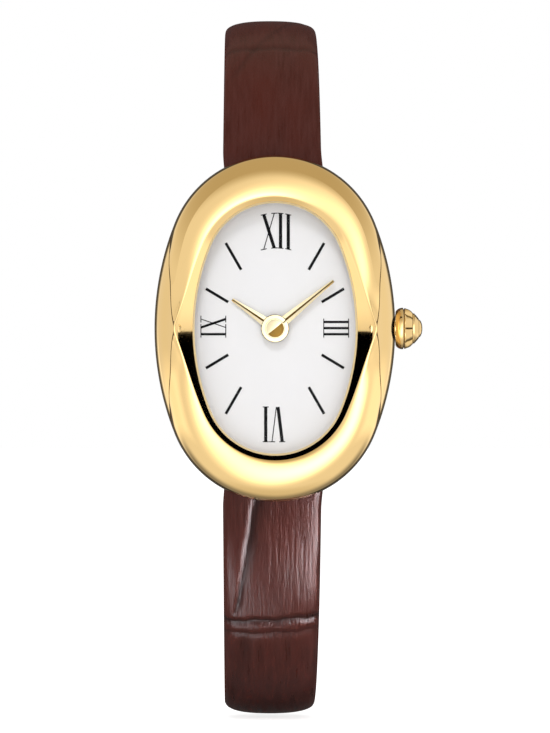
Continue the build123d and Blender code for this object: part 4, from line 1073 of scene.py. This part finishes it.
def tail_cutters():
    """The row of long holes, and the pieces trimmed off to round the tip."""
    cutters = []
    radius = tail_hole_width / 2
    straight = tail_hole_length / 2 - radius
    for n in range(7):
        y = hole_y + (n - 3) * tail_hole_pitch
        ends = [(c, s, straight if s > 0 else -straight) for c, s in circle(32, 0.5)]
        cutters.append(tail_cutter("hole", [(radius * c, y + radius * s + end) for c, s, end in ends]))
    tip_y, _, _ = walk(-1, lower_pieces, lower_length)
    half = strap_width_at_buckle / 2
    ring = [(half * cos(pi * k / 24), tip_y - half + half * sin(pi * k / 24)) for k in range(25)]
    ring += [(-2 * half, tip_y - half), (-2 * half, tip_y + 1), (2 * half, tip_y + 1), (2 * half, tip_y - half)]
    return [*cutters, tail_cutter("tip", ring)]


# Keepers
def make_keeper(name, node, body):
    """A folded leather band with rounded edges, sized from its CAD node."""
    low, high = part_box(node)
    half = [(high[i] - low[i]) / 2 / MM for i in range(3)]
    centre = [(high[i] + low[i]) / 2 / MM for i in range(3)]
    wall, soft, corner = 0.7, 0.16, 0.9
    edge = ((0, half[2] - soft), (soft * 0.3, half[2] - soft * 0.3), (soft, half[2]), (wall, half[2]))
    section = [*edge, (wall, 0), *((inset, -across) for inset, across in reversed(edge)), (0, 0)]
    around = 64
    points = []
    for c, s in circle(around, 0.5):
        for inset, across in section:
            r = max(corner - inset, 0.2)
            x = (half[0] - inset - r) * (1 if c > 0 else -1) + r * c
            y = (half[1] - inset - r) * (1 if s > 0 else -1) + r * s
            points.append((centre[0] + x, centre[2] + across, -(centre[1] + y)))
    faces = ring_faces(around, len(section))
    piece = new_piece(name, points, faces, body, strap_leather, [node], 40)
    lay_map(piece, 1)


def reach_of(node):
    """Start and length of a CAD node along X, in millimetres."""
    low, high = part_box(node)
    return low[0] / MM, (high[0] - low[0]) / MM


crown_forward = 0.12
crown_start, crown_length = reach_of("crown")
cap_start, cap_length = reach_of("crown_cap")
minute_low = z_minute_hand - 0.3
make_bezel()
make_middle_case()
make_crystal()
make_dial()
make_print()
make_hand("hand_hour", "hour_hand", "hour_train", 5.2, hour_angle, z_hour_hand - 0.2, 1)
make_hand("hand_minute", "minute_hand", "minute_train", 7.6, minute_angle, minute_low, -1)
make_hub_cap("hub_cap_bright", minute_low, 1, gold_brushed)
# The second half of the cap takes the painted-shade gold: painted shade.
make_hub_cap("hub_cap_painted_shade", minute_low, -1, painted_shade_gold)
make_crown(crown_start - crown_forward, crown_length)
make_crown_neck(crown_start - 0.16, crown_start)
make_crown_cap(cap_start - crown_forward, cap_length)
make_straps()
make_keeper("keeper_fixed", "fixed_keeper", "case")
make_keeper("keeper_sliding", "sliding_keeper", "sliding_keeper")


# Materials of the CAD nodes that stay
node_materials = {
    "crystal_gasket": gasket_nylon, "case_back_gasket": black_rubber, "crown_gasket": black_rubber,
    "case_back": steel, "crown_tube": gold, "stem": steel,
    "buckle_frame": gold, "buckle_tongue": gold,
    "battery": inner_steel, "coil_winding": copper,
    "movement_holder": plastic("holder_plastic", (0.6, 0.6, 0.57)),
    "main_plate": plastic("plate_plastic", (0.03, 0.03, 0.035)),
    "circuit_board": plastic("board_green", (0.02, 0.12, 0.04)),
    "timing_chip": plastic("chip_black", (0.01, 0.01, 0.01), 0.25),
    "intermediate_wheel": plastic("wheel_plastic", (0.75, 0.7, 0.55), 0.3),
}
node_materials["rotor"] = node_materials["intermediate_wheel"]
for name in ("centre_wheel", "cannon_pinion", "minute_wheel", "hour_wheel", "setting_wheel"):
    node_materials[name] = brass
for name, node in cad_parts.items():
    material = node_materials.get(name, inner_steel)
    for slot in node.material_slots:
        slot.material = material


def make_yoke():
    """The yoke with a flat on its pin and a thinner end, which clear the pinion through the whole swing."""
    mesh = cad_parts["yoke"].data.copy()
    for vertex in mesh.vertices:
        x, y, z = vertex.co / MM
        if x > 5.0 and y > -3.15:
            vertex.co = Vector((x, -3.19 if y < -3.05 else y, max(z, 0.57))) * MM
    return finish_piece("yoke_room", mesh, "yoke", inner_steel, ["yoke"], 30)


make_yoke()

# Floor and studio
def stage_mesh(name, points, faces, material):
    mesh = bpy.data.meshes.new(name)
    mesh.from_pydata([tuple(c * MM for c in p) for p in points], [], faces)
    mesh.materials.append(material)
    thing = linked(name, mesh)
    return thing


def mix_shaders(tree, share, first, second):
    """A socket that goes from one shader's to another's."""
    return add(tree, "ShaderNodeMixShader", share, first.outputs[0], second.outputs[0]).outputs["Shader"]


def make_floor():
    """A pale floor, white to the camera, that keeps the watch's shadow; metal does not mirror it."""
    material, tree, shader = new_material("floor_white", (0.93, 0.93, 0.93), roughness=0.9)
    glow = add(tree, "ShaderNodeEmission", in_Strength=0.78)
    dull = add(tree, "ShaderNodeBsdfDiffuse", in_Color=(0.5, 0.5, 0.5, 1))
    both = add(tree, "ShaderNodeAddShader", glow.outputs["Emission"], dull.outputs["BSDF"])
    surface = tree.nodes["Material Output"].inputs["Surface"]
    feed(tree, surface, mix_shaders(tree, seen_rays(tree), shader, both))
    level = cad_low[2] / MM - 0.3
    floor = stage_mesh("floor", [(4000 * i, 4000 * j, level) for i, j in square], [(0, 1, 2, 3)], material)
    floor.visible_glossy = False


def seen_rays(tree):
    """1 for rays from the camera, metal or glass."""
    rays = add(tree, "ShaderNodeLightPath").outputs
    seen = calculate(tree, "MAXIMUM", rays["Is Camera Ray"], rays["Is Glossy Ray"])
    return calculate(tree, "MAXIMUM", seen, rays["Is Transmission Ray"])


def glow_material(name, strength):
    """A material that only glows, with its tree and its glow."""
    material = bpy.data.materials.new(name)
    material.use_nodes = True
    tree = material.node_tree
    tree.nodes.clear()
    glow = add(tree, "ShaderNodeEmission", in_Strength=strength)
    add(tree, "ShaderNodeOutputMaterial", in_Surface=glow.outputs["Emission"])
    return material, tree, glow


def only_reflected(card):
    card.visible_camera = card.visible_diffuse = card.visible_shadow = card.visible_transmission = False


def direction_parts(tree, place_at):
    """The direction from the watch to a point of the stage, as its three parts."""
    unit = add(tree, "ShaderNodeVectorMath", place_at, operation="NORMALIZE")
    return add(tree, "ShaderNodeSeparateXYZ", unit.outputs["Vector"]).outputs


def smooth(tree, value, low, high):
    """Eases from 0 to 1 between two values."""
    return remap(tree, value, low, high, interpolation_type="SMOOTHSTEP")


def times(tree, first, *others):
    for other in others:
        first = calculate(tree, "MULTIPLY", first, other)
    return first


def left_over(tree, share):
    return calculate(tree, "SUBTRACT", 1.0, share)


def side_dimming(tree, x, z, low, high):
    """Share of the dim colour: full over the top, some at the far left and straight below."""
    top = smooth(tree, z, low, high)
    left = times(tree, smooth(tree, times(tree, x, -1.0), 0.8, 1.0), 0.2)
    under = times(tree, smooth(tree, times(tree, z, -1.0), 0.8, 1.0), 0.5)
    return calculate(tree, "MAXIMUM", calculate(tree, "MAXIMUM", top, left), under)


def see_through(tree, glow, share):
    """Lets what lies behind a glowing card show where the share is under 1."""
    clear = add(tree, "ShaderNodeBsdfTransparent")
    feed(tree, tree.nodes["Material Output"].inputs["Surface"], mix_shaders(tree, share, clear, glow))


def make_near_light():
    """A long soft glow leaning to the upper right, close in front of the watch: the metal's highlights."""
    material, tree, glow = glow_material("near_light", light_strength)
    c, s = cos(radians(light_lean)), sin(radians(light_lean))
    place_at = add(tree, "ShaderNodeTexCoord").outputs["Object"]
    spread = []
    for axis, reach in (((c, 0, s), light_along), ((s, 0, -c), light_across)):
        direction = Vector(axis) / (reach * MM)
        part = add(tree, "ShaderNodeVectorMath", place_at, direction, operation="DOT_PRODUCT").outputs["Value"]
        spread.append(calculate(tree, "POWER", calculate(tree, "ABSOLUTE", part), 2.0))
    fall = times(tree, calculate(tree, "ADD", *spread), -1.0)
    see_through(tree, glow, calculate(tree, "EXPONENT", fall))
    card = stage_mesh("near_light", [(70 * i, 0, 70 * j) for i, j in square], [(0, 1, 2, 3)], material)
    card.location = (light_x * MM, light_y * MM, light_z * MM)
    only_reflected(card)


def make_dome():
    """What metal and glass mirror: a white tent with a black band over the top and a dim crown."""
    material, tree, glow = glow_material("tent", 1.0)
    x, y, z = direction_parts(tree, add(tree, "ShaderNodeTexCoord").outputs["Object"])
    first, last = -cos(radians(band_start)), -cos(radians(band_end))
    limits = (("GREATER_THAN", y, first), ("LESS_THAN", y, last), ("GREATER_THAN", z, band_level))
    band = times(tree, *(calculate(tree, *limit) for limit in limits))
    behind = times(tree, smooth(tree, y, 0.62, 0.74), 0.9)
    downward = times(tree, z, -1.0)
    below = times(tree, smooth(tree, y, -0.1, 0.5), smooth(tree, downward, 0.3, 0.6), 0.7)
    level = times(tree, smooth(tree, z, -0.5, -0.3), smooth(tree, downward, -0.05, 0.1))
    beside = times(tree, level, smooth(tree, calculate(tree, "ABSOLUTE", x), 0.5, 0.9))
    lit = times(tree, *(left_over(tree, share) for share in (behind, band, below)))
    lit = times(tree, lit, calculate(tree, "MULTIPLY_ADD", beside, side_gain))
    feed(tree, glow.inputs["Strength"], lit)
    dim = side_dimming(tree, x, z, 0.3, 0.85)
    feed(tree, glow.inputs["Color"], blend_colors(tree, dim, (1, 1, 1), dim_color))
    rings, around = 48, 96
    polars = [(dome_radius * sin(pi * n / rings), -dome_radius * cos(pi * n / rings)) for n in range(rings + 1)]
    points = [(radius * c, y, radius * s) for radius, y in polars for c, s in circle(around)]
    only_reflected(stage_mesh("tent", points, ring_faces(rings + 1, around, closed=False), material))


def make_board():
    """A pale board with an oval hole, leaning back: it keeps the black band out of the outer side."""
    material, tree, glow = glow_material("board", 1.0)
    place_at = add(tree, "ShaderNodeTexCoord").outputs["Object"]
    flat = add(tree, "ShaderNodeVectorMath", place_at, (1, 0, 1), operation="MULTIPLY")
    x, _, z = direction_parts(tree, flat.outputs["Vector"])
    dim = side_dimming(tree, x, z, 0.25, 0.95)
    feed(tree, glow.inputs["Color"], blend_colors(tree, dim, (1, 1, 1), dim_color))
    see_through(tree, glow, smooth(tree, z, -0.42, -0.1))
    hole = grown(outline, board_gap)
    points = []
    steps = 96
    for n in range(steps + 1):
        turn = radians(-board_turn + (180 + 2 * board_turn) * n / steps)
        x, z = oval_point(hole, turn)
        far_x, far_z = x + board_reach * cos(turn), z + board_reach * sin(turn)
        points += [(x, -board_front, z), (far_x, board_slope * board_reach - board_front, far_z)]
    faces = [(2 * n, 2 * n + 1, 2 * n + 3, 2 * n + 2) for n in range(steps)]
    only_reflected(stage_mesh("board", points, faces, material))


def make_world():
    world = bpy.data.worlds.new("studio")
    bpy.context.scene.world = world
    world.use_nodes = True
    tree = world.node_tree
    tree.nodes.clear()
    seen = add(tree, "ShaderNodeBackground", in_Strength=1.0, in_Color=(1, 1, 1, 1))
    light = add(tree, "ShaderNodeBackground", in_Strength=0.95, in_Color=(1.0, 0.995, 0.99, 1))
    add(tree, "ShaderNodeOutputWorld", in_Surface=mix_shaders(tree, seen_rays(tree), light, seen))


def make_lamp(name, location, target, size, power, color=(1, 1, 1)):
    lamp = bpy.data.lights.new(name, "AREA")
    lamp.shape = "RECTANGLE"
    lamp.size, lamp.size_y = (s * MM for s in size)
    lamp.energy = power
    lamp.color = color
    thing = linked(name, lamp)
    thing.location = Vector(location) * MM
    thing.rotation_mode = "QUATERNION"
    thing.rotation_quaternion = (Vector(target) - Vector(location)).to_track_quat("-Z", "Y")
    thing.visible_glossy = False
    return thing

def light_leather(name, location, target, size, power):
    """A soft lamp that only shows as sheen on the leather, so the metal keeps its own reflections."""
    lamp = make_lamp(name, location, target, size, power, (0.92, 0.95, 1.0))
    lamp.visible_glossy = True
    lamp.visible_diffuse = False
    lamp.light_linking.receiver_collection = leather_pieces


def make_camera():
    data = bpy.data.cameras.new("camera")
    data.sensor_width = 36
    data.lens = 36 * camera_distance * pixels_per_mm / image_height
    data.clip_start, data.clip_end = 0.05, 20
    camera = linked("camera", data)
    azimuth = radians(camera_azimuth)
    back = Vector((sin(azimuth), -cos(azimuth), 0))
    right = Vector((cos(azimuth), sin(azimuth), 0))
    target = right * view_centre_x + Vector((0, 0, view_centre_z))
    camera.location = (target + back * camera_distance) * MM
    camera.rotation_mode = "QUATERNION"
    camera.rotation_quaternion = (-back).to_track_quat("-Z", "Y")
    bpy.context.scene.camera = camera


make_floor()
make_dome()
make_board()
make_near_light()
make_world()
make_lamp("key", (-60, -330, 420), (0, 0, 0), (130, 130), 0.9)
leather_pieces = bpy.data.collections.new("leather")
for name in ("strap_upper_leather", "strap_lower_leather"):
    leather_pieces.objects.link(bpy.data.objects[name])
light_leather("sheen_low", (50, -54, -76), (3, 1, -23), (28, 90), 0.58)
light_leather("sheen_high", (42, -55, 60), (2, 1, 20), (34, 100), 0.06)
light_leather("sheen_foot", (-30, -25, -95), (-4, 1, -28), (20, 60), 0.08)
light_leather("sheen_left", (-60, -45, 50), (-4, 1, 18), (20, 90), 0.04)
for name in ("crown_body", "crown_neck", "crown_button"):
    bpy.data.objects[name].visible_glossy = False
make_camera()
scene = bpy.context.scene
scene.view_settings.view_transform = "Standard"
